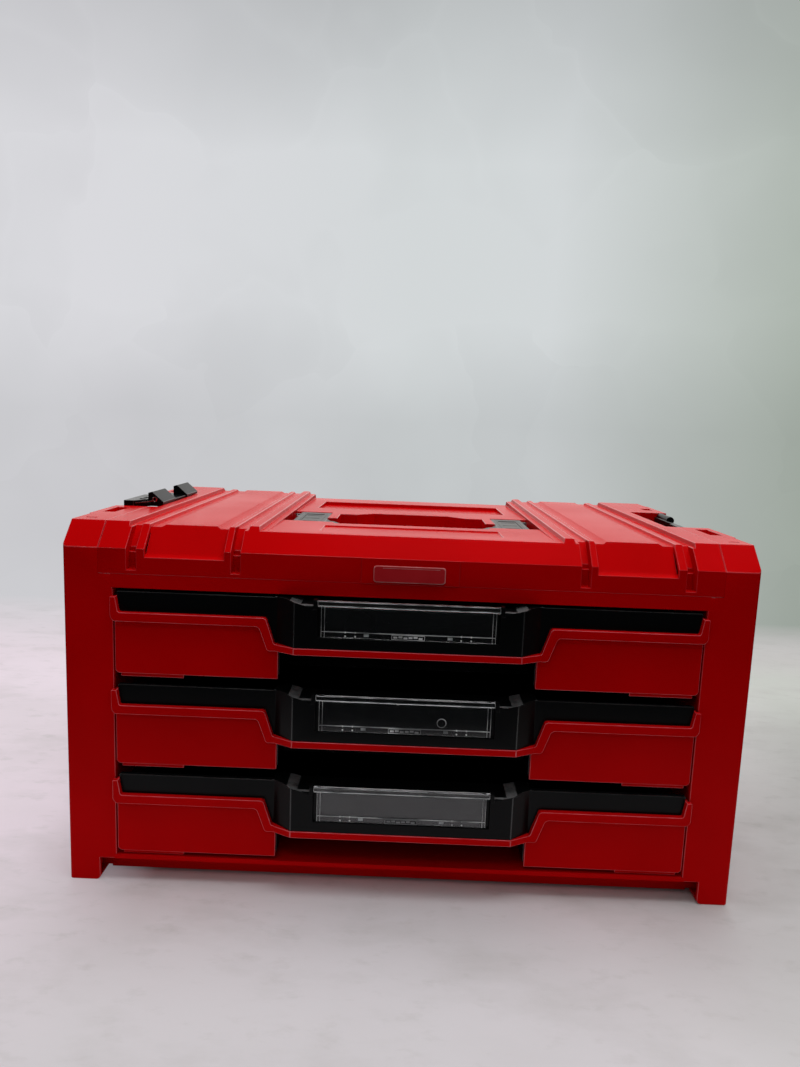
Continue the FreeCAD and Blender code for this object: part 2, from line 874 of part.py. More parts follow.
def latch_pin_spans():
    """Front and rear stub pins; each sits in the wing rail and in a knuckle."""
    front = latch_y[0] - latch_pin_seat
    rear = latch_y[1] + latch_pin_seat
    y0, y1 = latch_lever_y()
    return ((front, y0 + latch_lug), (y1 - latch_pin_bite, rear))


def latch_pin(start_y, end_y, radius):
    return rod(radius, end_y - start_y, FreeCAD.Vector(latch_pin_x, start_y, latch_pin_z), axis_y)


def latch_pins():
    return Part.makeCompound([latch_pin(start, end, latch_pin_r) for start, end in latch_pin_spans()])


def latch_block(y, low):
    """Raised grip of the lever from height low up, sloping down inwards."""
    inward = [
        (latch_block_inner, low),
        (latch_block_inner, latch_block_crest[1] - latch_block_edge),
        latch_block_crest,
        latch_block_outer,
        (latch_block_outer[0], low),
    ]
    outline = [(latch_pin_x - reach, latch_pin_z + height) for reach, height in inward]
    return prism_xz(outline, y)


def latch_lever():
    """Lever on the right, folded in over the wing; its taper points to the front."""
    y0, y1 = latch_lever_y()
    plate_z = (latch_pin_z + latch_plate[0], latch_pin_z + latch_plate[1])
    plan = [
        (latch_pin_x, y0),
        (latch_pin_x - latch_tip_reach, y0),
        (latch_pin_x - latch_plate_reach, y0 + latch_taper),
        (latch_pin_x - latch_plate_reach, y1),
        (latch_pin_x, y1),
    ]
    lever = prism_xy(plan, plate_z)
    nose_z = (latch_pin_z + latch_plate[0], latch_pin_z + latch_nose_top)
    first, first_end, second = [y0 + share for share in latch_blocks]
    nose_box = block((latch_pin_x - latch_block_inner, latch_pin_x), (y0, first_end), nose_z)
    nose = prism_xy(plan, nose_z).common(nose_box)
    lug = rod(latch_lug_r, latch_lug, FreeCAD.Vector(latch_pin_x, y0, latch_pin_z), axis_y)
    knuckle_place = FreeCAD.Vector(latch_pin_x, y1 - latch_knuckle, latch_pin_z)
    knuckle = rod(latch_knuckle_r, latch_knuckle, knuckle_place, axis_y)
    over_wing = wing_z + latch_rest_gap - latch_pin_z
    blocks = [
        latch_block((first, first_end), latch_plate[0]),
        latch_block((second, y1), latch_plate[0]),
        latch_block((second, y1 + latch_overhang), over_wing),
    ]
    lever = lever.fuse([nose, lug, knuckle] + blocks)
    across, along = latch_slot
    slot_x = latch_pin_x - latch_knuckle_r - latch_slot_edge
    for share in latch_slots:
        slot_y = (y0 + share - along / 2, y0 + share + along / 2)
        lever = lever.cut(block((slot_x - across, slot_x), slot_y, nose_z))
    for start, end in latch_pin_spans():
        lever = lever.cut(latch_pin(start, end, latch_pin_r + pin_play))
    return lever


def left_latch():
    return mirrored(latch_lever())


def right_latch():
    """The right lever hangs down in the side recess."""
    lever = latch_lever()
    lever.rotate(FreeCAD.Vector(latch_pin_x, 0, latch_pin_z), axis_y, -90)
    return lever


# ---------------------------------------------------------------- drawers


def lip_top_line(low_z):
    """Right half of the lip's upper edge, from the middle outwards."""
    end_x = front_half + lip_overhang
    return [
        (0, low_z + lip_centre_top_z),
        (lip_knee_top[1], low_z + lip_centre_top_z),
        (lip_knee_top[0], low_z + lip_top_z),
        (end_x - lip_end_foot, low_z + lip_top_z),
        (end_x - lip_end_top, low_z + lip_end_z),
    ]


def front_plan():
    """Plan of the drawer front, seen from above, right half."""
    end_x = front_half + lip_overhang
    return [
        (0, front_y - pull_proud),
        (pull_half, front_y - pull_proud),
        (pull_shoulder, front_y - lip_proud),
        (end_x, front_y - lip_proud),
        (end_x, tub_front_y),
        (0, tub_front_y),
    ]


def drawer_front(low_z):
    """Red front: raised lip across the drawer and a panel each side."""
    end_x = front_half + lip_overhang
    bevel = lip_end_bevel
    band = lip_top_line(low_z) + [
        (end_x, low_z + lip_end_z),
        (end_x, low_z + lip_bottom_z + bevel),
        (end_x - bevel, low_z + lip_bottom_z),
        (lip_knee_bottom[0], low_z + lip_bottom_z),
        (lip_knee_bottom[1], low_z + lip_centre_bottom_z),
        (0, low_z + lip_centre_bottom_z),
    ]
    lip = both_sides(prism_xz(band, (front_y - pull_proud, tub_front_y))).removeSplitter()
    plan = both_sides(prism_xy(front_plan(), (low_z, low_z + rim_z))).removeSplitter()
    lip = lip.common(plan)
    inner = block(
        (-pull_half, pull_half),
        (front_y - pull_proud + lip_centre_depth, tub_front_y),
        (low_z, low_z + lip_centre_top_z),
    )
    beside_panel = block(
        (front_half, end_x), (front_y - lip_case_gap, tub_front_y), (low_z, low_z + rim_z)
    )
    lip = lip.cut(inner).cut(both_sides(beside_panel))
    panel = prism_xz(
        [
            (panel_inner, low_z),
            (front_half, low_z),
            (front_half, low_z + lip_bottom_z),
            (lip_knee_bottom[0], low_z + lip_bottom_z),
            (lip_knee_bottom[1], low_z + lip_centre_bottom_z),
            (panel_inner, low_z + lip_centre_bottom_z),
        ],
        (front_y, tub_front_y),
    )
    panel = rounded(
        panel,
        panel_round,
        lambda edge, middle: runs_along(edge, axis_y)
        and near(middle.x, front_half)
        and near(middle.z, low_z),
    )
    skirt = block(
        (front_half - skirt_side_gap - skirt_width, front_half - skirt_side_gap),
        (front_y + skirt_set_back, tub_front_y),
        (low_z - skirt_drop, low_z),
    )
    side = panel.fuse(skirt)
    front = lip.fuse([side, mirrored(side)])
    for place in front_screw_places(low_z):
        start = place - axis_y * front_screw_bite
        front = front.cut(hex_rod(screw_r, front_screw_bite, start, axis_y))
    return front


def front_screw_x():
    return (panel_inner + front_screw_margin[0], front_half - front_screw_margin[1])


def front_screw_places(low_z):
    """Where the screws through the tub meet the back of the red front."""
    places = []
    for x in front_screw_x():
        for side in (-1, 1):
            places.append(FreeCAD.Vector(side * x, tub_front_y, low_z + front_screw_up))
    return places


def pull_screw_places(low_z):
    """Where the screws through the tub meet the back of the black band."""
    x = sum(front_screw_x()) / 2
    z = low_z + tub_height - pull_screw_drop
    return [FreeCAD.Vector(side * x, tub_front_y, z) for side in (-1, 1)]


def front_screws(low_z):
    screws = []
    for place in front_screw_places(low_z) + pull_screw_places(low_z):
        head_seat = place + axis_y * tub_wall
        screws.append(screw(head_seat, axis_y * -1, tub_wall + front_screw_bite))
    return Part.makeCompound(screws)


def pull_rear_y():
    return front_y + grip_space_depth + tub_wall


def black_face(low_z):
    """Black band above the lip, with the pull standing forward in the middle."""
    top = lip_top_line(low_z)
    half = top + [
        (top[-1][0], low_z + rim_z),
        (pull_shoulder + rim_crest[0], low_z + rim_z),
        (pull_shoulder - rim_crest[1], low_z + pull_crest_z),
        (pull_half - crest_run, low_z + pull_top_z),
        (0, low_z + pull_top_z),
    ]
    face_y = front_y - pull_proud + pull_face_set_back
    band = both_sides(prism_xz(half, (face_y, pull_rear_y()))).removeSplitter()
    band_y = front_y - band_set_back
    plan = [
        (0, face_y),
        (pull_half, face_y),
        (pull_shoulder, band_y),
        (top[-1][0], band_y),
        (top[-1][0], tub_front_y),
        (recess_half + tub_wall, tub_front_y),
        (recess_half + tub_wall, pull_rear_y()),
        (0, pull_rear_y()),
    ]
    plan = both_sides(prism_xy(plan, (low_z, low_z + rim_z + wall))).removeSplitter()
    band = band.common(plan)
    return rounded(
        band,
        pull_round,
        lambda edge, middle: near(middle.y, face_y) and near(middle.z, low_z + pull_top_z),
    )


def pull_hollow(low_z):
    """Finger space behind the pull and under it."""
    inner = pull_half - pull_wall
    behind = block(
        (-inner, inner),
        (front_y - pull_proud + pull_face_set_back + pull_wall, front_y + grip_space_depth),
        (low_z - wall, low_z + pull_top_z - pull_roof),
    )
    below = block(
        (-recess_half, recess_half),
        (front_y - pull_proud, front_y + recess_depth),
        (low_z - wall, low_z + lip_centre_bottom_z),
    )
    step = block(
        (-recess_half, recess_half),
        (tub_front_y, front_y + recess_depth),
        (low_z, low_z + recess_z),
    )
    return behind.fuse([below, step])


def window_seat(low_z):
    """Recess in the pull for the label window, and room for its rail to turn."""
    face_y = front_y - pull_proud
    half = window_rail_half + window_side_gap
    behind, under = window_seat_gap
    pane = block(
        (-half, half),
        (face_y, face_y + window_thick + behind),
        (low_z + window_foot_z - under, low_z + pull_crest_z),
    )
    turn = math.hypot(window_rail_height, window_rail_depth) / 2
    rail = block(
        (-half, half),
        (face_y, face_y + window_rail_depth / 2 + turn + window_side_gap),
        (low_z + window_axis_z - turn - window_side_gap, low_z + pull_crest_z + wall),
    )
    return pane.fuse(rail)


def window_axis(low_z):
    return FreeCAD.Vector(0, front_y - pull_proud + window_rail_depth / 2, low_z + window_axis_z)


def window_pins(low_z, radius):
    half = window_rail_half + window_side_gap + window_ear - window_pin_short
    start = window_axis(low_z) - axis_x * half
    return rod(radius, 2 * half, start, axis_x)


def window_ears(low_z):
    """Two ears on the pull that hold the ends of the window's rail."""
    inner = window_rail_half + window_side_gap
    axis = window_axis(low_z)
    y0 = front_y - pull_proud
    ear = block(
        (inner, inner + window_ear),
        (y0, y0 + pull_wall),
        (low_z + pull_top_z - pull_roof, axis.z + window_rail_height / 2),
    )
    ear = rounded(
        ear,
        window_ear_round,
        lambda edge, middle: runs_along(edge, axis_x) and middle.z > axis.z and middle.y < axis.y,
    )
    return both_sides(ear)


def drawer_pull(low_z):
    """Black bezel: band over the lip, hollow pull and the ears of the window."""
    pull = black_face(low_z).fuse(window_ears(low_z))
    pull = pull.cut(pull_hollow(low_z)).cut(window_seat(low_z))
    above_housing = block(
        (-recess_half - tub_wall, recess_half + tub_wall),
        (tub_front_y, pull_rear_y()),
        (low_z, low_z + recess_z + tub_wall),
    )
    pull = pull.cut(above_housing)
    pull = pull.cut(window_pins(low_z, window_pin_r + pin_play))
    for place in pull_screw_places(low_z):
        start = place - axis_y * front_screw_bite
        pull = pull.cut(hex_rod(screw_r, front_screw_bite, start, axis_y))
    return pull


def tub(low_z):
    """Black drawer body with the housing of the finger recess in its front."""
    floor_z = low_z + tub_floor_z
    outer = block(
        (-tub_half, tub_half),
        (tub_front_y, tub_back_y),
        (floor_z, low_z + tub_height),
    )
    inner = block(
        (-tub_half + tub_wall, tub_half - tub_wall),
        (tub_front_y + tub_wall, tub_back_y - tub_wall),
        (floor_z + tub_wall, low_z + tub_height),
    )
    body = outer.cut(inner)
    housing_x = recess_half + tub_wall
    housing = block(
        (-housing_x, housing_x),
        (tub_front_y, front_y + recess_depth + tub_wall),
        (floor_z, low_z + recess_z + tub_wall),
    )
    behind_pull = block(
        (-housing_x, housing_x),
        (tub_front_y, tub_front_y + tub_wall),
        (low_z + recess_z + tub_wall, low_z + tub_height),
    )
    body = body.fuse(housing).cut(behind_pull).cut(pull_hollow(low_z))
    for place in front_screw_places(low_z) + pull_screw_places(low_z):
        body = body.cut(hex_rod(screw_r, tub_wall, place, axis_y))
    return body


def label_window(low_z):
    """Clear flap: a pane under a rail that turns on two short pins."""
    face_y = front_y - pull_proud
    axis = window_axis(low_z)
    foot_z = low_z + window_foot_z
    lip_y = (face_y, face_y + window_thick + window_lip)
    rail = block(
        (-window_rail_half, window_rail_half),
        (face_y, face_y + window_rail_depth),
        (axis.z - window_rail_height / 2, axis.z + window_rail_height / 2),
    )
    rail = rounded(
        rail,
        window_round,
        lambda edge, middle: runs_along(edge, axis_x) and near(middle.y, face_y),
    )
    pane = block((-window_half, window_half), (face_y, face_y + window_thick), (foot_z, axis.z))
    foot = block((-window_half, window_half), lip_y, (foot_z, foot_z + window_lip_height))
    tab = block(
        (-window_tab_half, window_tab_half), lip_y, (foot_z, foot_z + window_tab_height)
    )
    return rail.fuse([pane, foot, tab, window_pins(low_z, window_pin_r)])


def dividers(low_z):
    """Two loose plates that part the drawer into three bays."""
    floor_z = low_z + tub_floor_z + tub_wall
    front = front_y + recess_depth + tub_wall + divider_gap
    rear = tub_back_y - tub_wall - divider_gap
    plates = []
    for side in (-1, 1):
        x = side * divider_x
        plate = block(
            (x - divider_thick / 2, x + divider_thick / 2),
            (front, rear),
            (floor_z, low_z + tub_height - divider_drop),
        )
        plates.append(plate)
    return Part.makeCompound(plates)


# ---------------------------------------------------------------- slides


def slide_outline(web, edge, half, sheet):
    """C section: web at x = web, flanges of +-half reaching to x = edge."""
    turn = 1 if edge > web else -1
    return [
        (web, -half),
        (edge, -half),
        (edge, -half + sheet),
        (web + turn * sheet, -half + sheet),
        (web + turn * sheet, half - sheet),
        (edge, half - sheet),
        (edge, half),
        (web, half),
    ]


def slide_member(outline, axis_height, y):
    return prism_xz([(x, z + axis_height) for x, z in outline], y)


def slide_y():
    start = front_y + slide_front_gap
    return (start, start + slide_length)


def case_rail(low_z):
    edge = opening_x - slide_space + slide_lap[0]
    outline = slide_outline(opening_x, edge, slide_height / 2, slide_sheet)
    return slide_member(outline, low_z + slide_z, slide_y())


def middle_rail(low_z):
    """Middle member; its ridges stand for the rows of bearing balls."""
    web = opening_x - slide_sheet - slide_web_gap
    edge = tub_half + slide_sheet + slide_lap[1]
    half = slide_height / 2 - slide_step
    outline = slide_outline(web, edge, half, slide_sheet)
    y = (slide_y()[0] + slide_middle_short, slide_y()[1] - slide_middle_short)
    member = slide_member(outline, low_z + slide_z, y)
    gap = slide_step - slide_sheet - slide_play
    middle_x = (web + edge) / 2
    row_x = (middle_x - ball_row_half, middle_x + ball_row_half)
    short, long, inner = ball_row_ends
    axis_height = low_z + slide_z
    ridges = []
    for sign in (-1, 1):
        outer_z = (axis_height + sign * half, axis_height + sign * (half + gap))
        ridges.append(block(row_x, (y[0] + short, y[1] - long), outer_z))
        inside = half - slide_sheet
        inner_z = (axis_height + sign * inside, axis_height + sign * (inside - gap))
        ridges.append(block(row_x, (y[0] + inner, y[1] - short), inner_z))
    return member.fuse(ridges)


def drawer_rail(low_z):
    edge = opening_x - 2 * slide_sheet - slide_lap[2]
    half = slide_height / 2 - 2 * slide_step
    outline = slide_outline(tub_half, edge, half, slide_sheet)
    return slide_member(outline, low_z + slide_z, slide_y())


def save_pair(node, right):
    save(node + "_right", right)
    save(node + "_left", mirrored(right))


def save_drawer(name, low_z):
    save(name + "_tub", tub(low_z))
    save(name + "_pull", drawer_pull(low_z))
    save(name + "_front", drawer_front(low_z))
    save(name + "_front_screws", front_screws(low_z))
    save(name + "_label_window", label_window(low_z))
    save(name + "_dividers", dividers(low_z))
    save_pair(name + "_case_rail", case_rail(low_z))
    save_pair(name + "_middle_rail", middle_rail(low_z))
    save_pair(name + "_drawer_rail", drawer_rail(low_z))


def main():
    os.makedirs("parts", exist_ok=True)
    save_pair("side_frame", side_frame())
    save("case_floor", case_floor())
    save("case_back", case_back())
    save("top_frame", top_frame())
    save("top_cover", top_cover())
    save("cover_screws", cover_screws())
    save("name_plate", name_plate())
    save("carry_handle", carry_handle())
    save_pair("handle_pin", handle_pin(handle_pin_r))
    save("latch_right", right_latch())
    save("latch_left", left_latch())
    save_pair("latch_pins", latch_pins())
    for index, name in enumerate(drawer_names):
        save_drawer(name, first_drawer_z + index * drawer_pitch)


main()
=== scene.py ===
import json
import math

import bmesh
import bpy
from mathutils import Matrix, Vector

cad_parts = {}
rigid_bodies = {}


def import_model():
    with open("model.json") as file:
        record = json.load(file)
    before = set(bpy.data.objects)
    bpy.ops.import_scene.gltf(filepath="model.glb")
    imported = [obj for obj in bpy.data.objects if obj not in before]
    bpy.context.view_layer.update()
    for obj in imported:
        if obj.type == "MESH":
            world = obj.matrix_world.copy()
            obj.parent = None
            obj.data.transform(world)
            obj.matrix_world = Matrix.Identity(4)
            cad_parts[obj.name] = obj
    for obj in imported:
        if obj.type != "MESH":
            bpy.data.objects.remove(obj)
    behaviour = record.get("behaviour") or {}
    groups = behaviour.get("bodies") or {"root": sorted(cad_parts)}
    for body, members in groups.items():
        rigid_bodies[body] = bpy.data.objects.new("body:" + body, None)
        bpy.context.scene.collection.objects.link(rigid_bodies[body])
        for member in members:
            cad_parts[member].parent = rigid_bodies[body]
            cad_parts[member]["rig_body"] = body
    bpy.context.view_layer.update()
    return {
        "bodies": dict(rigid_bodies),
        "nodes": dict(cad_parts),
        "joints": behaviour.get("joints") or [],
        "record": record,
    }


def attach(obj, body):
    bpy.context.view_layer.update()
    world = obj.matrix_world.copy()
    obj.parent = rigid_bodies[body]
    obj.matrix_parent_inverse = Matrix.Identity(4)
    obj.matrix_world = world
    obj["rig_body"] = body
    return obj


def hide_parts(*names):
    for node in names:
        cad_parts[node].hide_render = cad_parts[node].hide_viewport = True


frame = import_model()
nodes = frame["nodes"]
mm = 0.001

drawerNames = ("bottom", "middle", "top")
sides = ("left", "right")
drawerBase = {"bottom": 22.4, "middle": 85.4, "top": 148.4}  # lower edge of each drawer front, mm
print("frame loaded:", len(nodes), "nodes")


# small helpers for shader nodes

def feed(tree, value, socket):
    # a value is another node's output, or a number or colour for the socket itself
    if isinstance(value, bpy.types.NodeSocket):
        tree.links.new(value, socket)
    else:
        socket.default_value = value


def addNode(tree, kind, **inputs):
    node = tree.nodes.new("ShaderNode" + kind)
    for name, value in inputs.items():
        feed(tree, value, node.inputs[name])
    return node


def feedInOrder(tree, node, values):
    for value, socket in zip(values, node.inputs):
        feed(tree, value, socket)


def calculate(tree, operation, *values, clamp=False):
    node = addNode(tree, "Math")
    node.operation = operation
    node.use_clamp = clamp
    feedInOrder(tree, node, values)
    return node.outputs[0]


def product(tree, first, *others):
    for value in others:
        first = calculate(tree, "MULTIPLY", first, value)
    return first


def vectorMath(tree, operation, *values):
    node = addNode(tree, "VectorMath")
    node.operation = operation
    feedInOrder(tree, node, values)
    return node.outputs["Value" if operation in ("DISTANCE", "LENGTH") else "Vector"]


def mapRange(tree, value, fromLow, fromHigh, toLow=0.0, toHigh=1.0):
    limits = {"From Min": fromLow, "From Max": fromHigh, "To Min": toLow, "To Max": toHigh}
    return addNode(tree, "MapRange", Value=value, **limits).outputs["Result"]


def mixColors(tree, factor, first, second):
    node = addNode(tree, "Mix")
    node.data_type = "RGBA"
    feed(tree, factor, node.inputs[0])
    for index, color in ((6, first), (7, second)):
        feed(tree, (*color, 1.0) if isinstance(color, tuple) else color, node.inputs[index])
    return node.outputs[2]


def mixShaders(tree, factor, first, second):
    node = addNode(tree, "MixShader")
    feedInOrder(tree, node, (factor, first, second))
    return node.outputs[0]


def newGroup(name, inputs, outputs):
    group = bpy.data.node_groups.new(name, "ShaderNodeTree")
    for label, kind, value in inputs:
        socket = group.interface.new_socket(name=label, in_out="INPUT", socket_type="NodeSocket" + kind)
        if value is not None:
            socket.default_value = value
    for label, kind in outputs:
        group.interface.new_socket(name=label, in_out="OUTPUT", socket_type="NodeSocket" + kind)
    given = group.nodes.new("NodeGroupInput").outputs
    result = group.nodes.new("NodeGroupOutput").inputs
    return group, given, result


def useGroup(tree, group, **inputs):
    node = addNode(tree, "Group")
    node.node_tree = group
    for name, value in inputs.items():
        feed(tree, value, node.inputs[name])
    return node.outputs


def objectPlace(tree):
    return addNode(tree, "TexCoord").outputs["Object"]


# camera and room

def addToScene(name, data):
    item = bpy.data.objects.new(name, data)
    bpy.context.scene.collection.objects.link(item)
    return item


camera = {
    "place": (-4.84, -632.27, 319.20),
    "turn": -0.352,
    "down": 8.216,
    "roll": 2.193,
    "lens": 25.93,
    "sensor": 36.0,
    "clip": (0.01, 50.0),
}


def setCamera():
    data = bpy.data.cameras.new("camera")
    data.sensor_fit = "VERTICAL"
    data.sensor_height = data.sensor_width = camera["sensor"]
    data.lens = camera["lens"]
    data.clip_start, data.clip_end = camera["clip"]
    viewer = addToScene("camera", data)
    turn = Matrix.Rotation(-math.radians(camera["turn"]), 4, "Z")
    tilt = Matrix.Rotation(math.radians(90 - camera["down"]), 4, "X")
    roll = Matrix.Rotation(math.radians(camera["roll"]), 4, "Z")
    viewer.matrix_world = Matrix.Translation(Vector(camera["place"]) * mm) @ turn @ tilt @ roll
    bpy.context.scene.camera = viewer


def backgroundRays(tree):
    paths = addNode(tree, "LightPath").outputs
    seen = calculate(tree, "ADD", paths["Is Camera Ray"], paths["Is Transmission Ray"], clamp=True)
    return paths, seen


black = (0.0, 0.0, 0.0)
# tones of the backdrop paper with painted light and shade: paler on the left, darker on the right
paper = {
    "left": (0.70, 0.70, 0.73),
    "middle": (0.65, 0.68, 0.69),
    "right": (0.40, 0.45, 0.40),
    "leftEnds": (-0.36, 0.0),  # sideways directions over which one tone gives way to the next
    "rightStarts": (0.17, 0.46),
    "foot": (0.0, 0.14, 0.84, 1.0),  # two heights and the light at each
    "top": (0.30, 0.46, 1.0, 0.74),
    "driftScale": 5.0,
    "bend": 0.22,  # how far the drift bends the folds
    "foldScale": 5.5,
    "foldWidth": 0.06,
    "foldLight": 0.012,
    "foldsStart": (0.02, 0.12),  # heights over which the folds begin
    "facetLight": (0.975, 1.02),
    "cloudLight": (0.96, 1.04),
}


def makePaperGroup():
    # creased studio paper with painted light and shade: paler on the left, darker on the right, painted shade
    # at its foot and top and painted highlights along its folds; the direction it is seen in gives the place
    # on it
    group, given, result = newGroup("backdropPaper", [("Direction", "Vector", None)], [("Color", "Color")])
    direction = given["Direction"]
    axes = addNode(group, "SeparateXYZ", Vector=direction).outputs
    color = mixColors(group, mapRange(group, axes["X"], *paper["leftEnds"]), paper["left"], paper["middle"])
    color = mixColors(group, mapRange(group, axes["X"], *paper["rightStarts"]), color, paper["right"])
    foot, top = (mapRange(group, axes["Z"], *paper[end]) for end in ("foot", "top"))
    noise = addNode(group, "TexNoise", Vector=direction, Scale=paper["driftScale"], Detail=3.0, Roughness=0.5)
    drift = noise.outputs
    bent = vectorMath(group, "MULTIPLY_ADD", drift["Color"], (paper["bend"],) * 3, direction)
    facets = addNode(group, "TexVoronoi", Vector=bent, Scale=paper["foldScale"])
    folds = addNode(group, "TexVoronoi", Vector=bent, Scale=paper["foldScale"])
    folds.feature = "DISTANCE_TO_EDGE"
    facet = addNode(group, "SeparateColor", Color=facets.outputs["Color"]).outputs[0]
    facetLight = mapRange(group, facet, 0.0, 1.0, *paper["facetLight"])
    cloudLight = mapRange(group, drift["Fac"], 0.3, 0.7, *paper["cloudLight"])
    fold = mapRange(group, folds.outputs["Distance"], 0.0, paper["foldWidth"], 1.0, 0.0)
    foldHighlight = product(group, fold, mapRange(group, axes["Z"], *paper["foldsStart"]), paper["foldLight"])
    level = product(group, foot, top, product(group, facetLight, cloudLight))
    level = calculate(group, "ADD", level, foldHighlight)
    feed(group, mixColors(group, level, black, color), result["Color"])
    return group


paperGroup = makePaperGroup()


studio = {
    "fill": (0.0, 0.85, 0.04, 0.40),  # light from low and from high directions
    "lightColor": (1.0, 0.99, 0.98),
    "behind": (0.60, 0.84),  # directions from which the bright paper is mirrored
    "gleam": 1.8,
    "sideGleam": 0.03,
}


def setWorld():
    world = bpy.data.worlds.new("studio")
    bpy.context.scene.world = world
    world.use_nodes = True
    tree = world.node_tree
    tree.nodes.clear()
    direction = addNode(tree, "TexCoord").outputs["Generated"]
    axes = addNode(tree, "SeparateXYZ", Vector=direction).outputs
    paths, seen = backgroundRays(tree)
    # plastic mirrors the bright paper behind the box and a dim room elsewhere
    behind = product(tree, mapRange(tree, axes["Y"], *studio["behind"]), studio["gleam"])
    aside = product(tree, calculate(tree, "ABSOLUTE", axes["X"]), studio["sideGleam"])
    level = addNode(tree, "Mix")
    feed(tree, paths["Is Glossy Ray"], level.inputs[0])
    feed(tree, mapRange(tree, axes["Z"], *studio["fill"]), level.inputs[2])
    feed(tree, calculate(tree, "MAXIMUM", behind, aside), level.inputs[3])
    light = mixColors(tree, level.outputs[0], black, studio["lightColor"])
    color = mixColors(tree, seen, light, useGroup(tree, paperGroup, Direction=direction)["Color"])
    addNode(tree, "OutputWorld", Surface=addNode(tree, "Background", Color=color).outputs[0])


# the floor's tones hold painted light and shade: paler at the rear, darker in front and on the right
floorLook = {
    "half": 12.0,
    "front": (0.62, 0.60, 0.62),
    "rear": (0.98, 0.93, 0.98),
    "right": (0.62, 0.64, 0.60),
    "rearTone": (-0.36, 0.10),  # y over which the floor turns to its paler rear tone, painted light
    "rightTone": (0.12, 0.46),  # x over which it turns to its darker right tone, painted shade
    "roughness": 0.62,
    "specular": 0.25,
    "smudgeColor": (0.47, 0.455, 0.44),
    "smudgeStretch": (1.0, 2.0, 1.0),
    # size, the noise at which a smudge begins and is full, and its strength
    "smudges": ((2.6, 0.40, 0.72, 0.30), (9.0, 0.50, 0.72, 0.34), (38.0, 0.56, 0.74, 0.30)),
    "shadeSpot": ((0.47, -0.06, 0.0), (0.36, 0.09, 0.0, 0.40)),  # its middle, and how far its shade reaches
    "poolColor": (0.78, 0.67, 0.74),  # light from the window on the floor beside the box
    "pool": ((-0.17, -0.28), (-0.40, -0.18, 0.0, 0.75)),  # its edge across, and along with its strength
    "wallFoot": (0.36, 0.66),  # y where the floor paper turns up into the wall
    "fade": (0.95, 2.0),  # distances over which the floor fades into the paper all round
    "viewFrom": (0.0, 0.632, -0.319),
    "dimColor": (0.02, 0.021, 0.022, 1.0),
    "litFront": (-0.40, -0.46),  # the floor inside these places lights the plastic: y, then x either side
    "litSide": (0.36, 0.46),
}


def setFloor():
    look = floorLook
    bm = bmesh.new()
    bmesh.ops.create_grid(bm, x_segments=8, y_segments=8, size=look["half"])
    mesh = bpy.data.meshes.new("floor")
    bm.to_mesh(mesh)
    bm.free()
    material = bpy.data.materials.new("floorPaper")
    material.use_nodes = True
    tree = material.node_tree
    tree.nodes.clear()
    place = objectPlace(tree)
    axes = addNode(tree, "SeparateXYZ", Vector=place).outputs
    # trodden grey smudges at three sizes
    stretched = addNode(tree, "Mapping", Vector=place, Scale=look["smudgeStretch"]).outputs[0]
    smudge = 0.0
    for scale, low, high, share in look["smudges"]:
        noise = addNode(tree, "TexNoise", Vector=stretched, Scale=scale, Detail=8.0, Roughness=0.62)
        smudge = calculate(tree, "ADD", mapRange(tree, noise.outputs["Fac"], low, high, 0.0, share), smudge)
    # painted light and shade: paler at the rear, darker in front and on the right, and a painted shadow to
    # the right of the box
    sheet = mixColors(tree, mapRange(tree, axes["Y"], *look["rearTone"]), look["front"], look["rear"])
    sheet = mixColors(tree, mapRange(tree, axes["X"], *look["rightTone"]), sheet, look["right"])
    middle, reach = look["shadeSpot"]
    shade = mapRange(tree, vectorMath(tree, "DISTANCE", place, middle), *reach)
    color = mixColors(tree, shade, mixColors(tree, smudge, sheet, look["smudgeColor"]), black)
    finish = {"Base Color": color, "Roughness": look["roughness"], "Specular IOR Level": look["specular"]}
    plain = addNode(tree, "BsdfPrincipled", **finish).outputs[0]
    # far out the floor turns up into the wall paper
    direction = vectorMath(tree, "NORMALIZE", vectorMath(tree, "ADD", place, look["viewFrom"]))
    wall = useGroup(tree, paperGroup, Direction=direction)["Color"]
    away = mapRange(tree, vectorMath(tree, "LENGTH", place), *look["fade"])
    far = calculate(tree, "MAXIMUM", mapRange(tree, axes["Y"], *look["wallFoot"]), away)
    across, along = look["pool"]
    pool = product(tree, mapRange(tree, axes["X"], *across), mapRange(tree, axes["Y"], *along))
    wall = mixColors(tree, far, mixColors(tree, smudge, look["poolColor"], look["smudgeColor"]), wall)
    glow = addNode(tree, "Emission", Color=wall).outputs[0]
    paths, seen = backgroundRays(tree)
    shown = mixShaders(tree, product(tree, calculate(tree, "MAXIMUM", far, pool), seen), plain, glow)
    # the plastic is lit by the floor near it, and sees a dim room further out
    dim = addNode(tree, "Emission", Color=look["dimColor"]).outputs[0]
    aside = mapRange(tree, calculate(tree, "ABSOLUTE", axes["X"]), *look["litSide"])
    outside = calculate(tree, "MAXIMUM", mapRange(tree, axes["Y"], *look["litFront"]), aside)
    reflected = calculate(tree, "ADD", paths["Is Glossy Ray"], paths["Is Diffuse Ray"], clamp=True)
    addNode(tree, "OutputMaterial", Surface=mixShaders(tree, product(tree, outside, reflected), shown, dim))
    mesh.materials.append(material)
    addToScene("floor", mesh)


# each lamp aims at a height over the middle of the floor
lamps = {
    "ceiling": {"place": (0.22, 0.10, 1.75), "aim": 0.10, "size": (1.5, 1.2), "power": 23.5, "gloss": False},
    "front": {"place": (-0.30, -1.35, 1.55), "aim": 0.12, "size": (0.4, 0.25), "power": 1.8, "gloss": True},
    "window": {"place": (-1.5, -0.35, 1.05), "aim": 0.12, "size": (0.25, 0.4), "power": 1.3, "gloss": True},
}


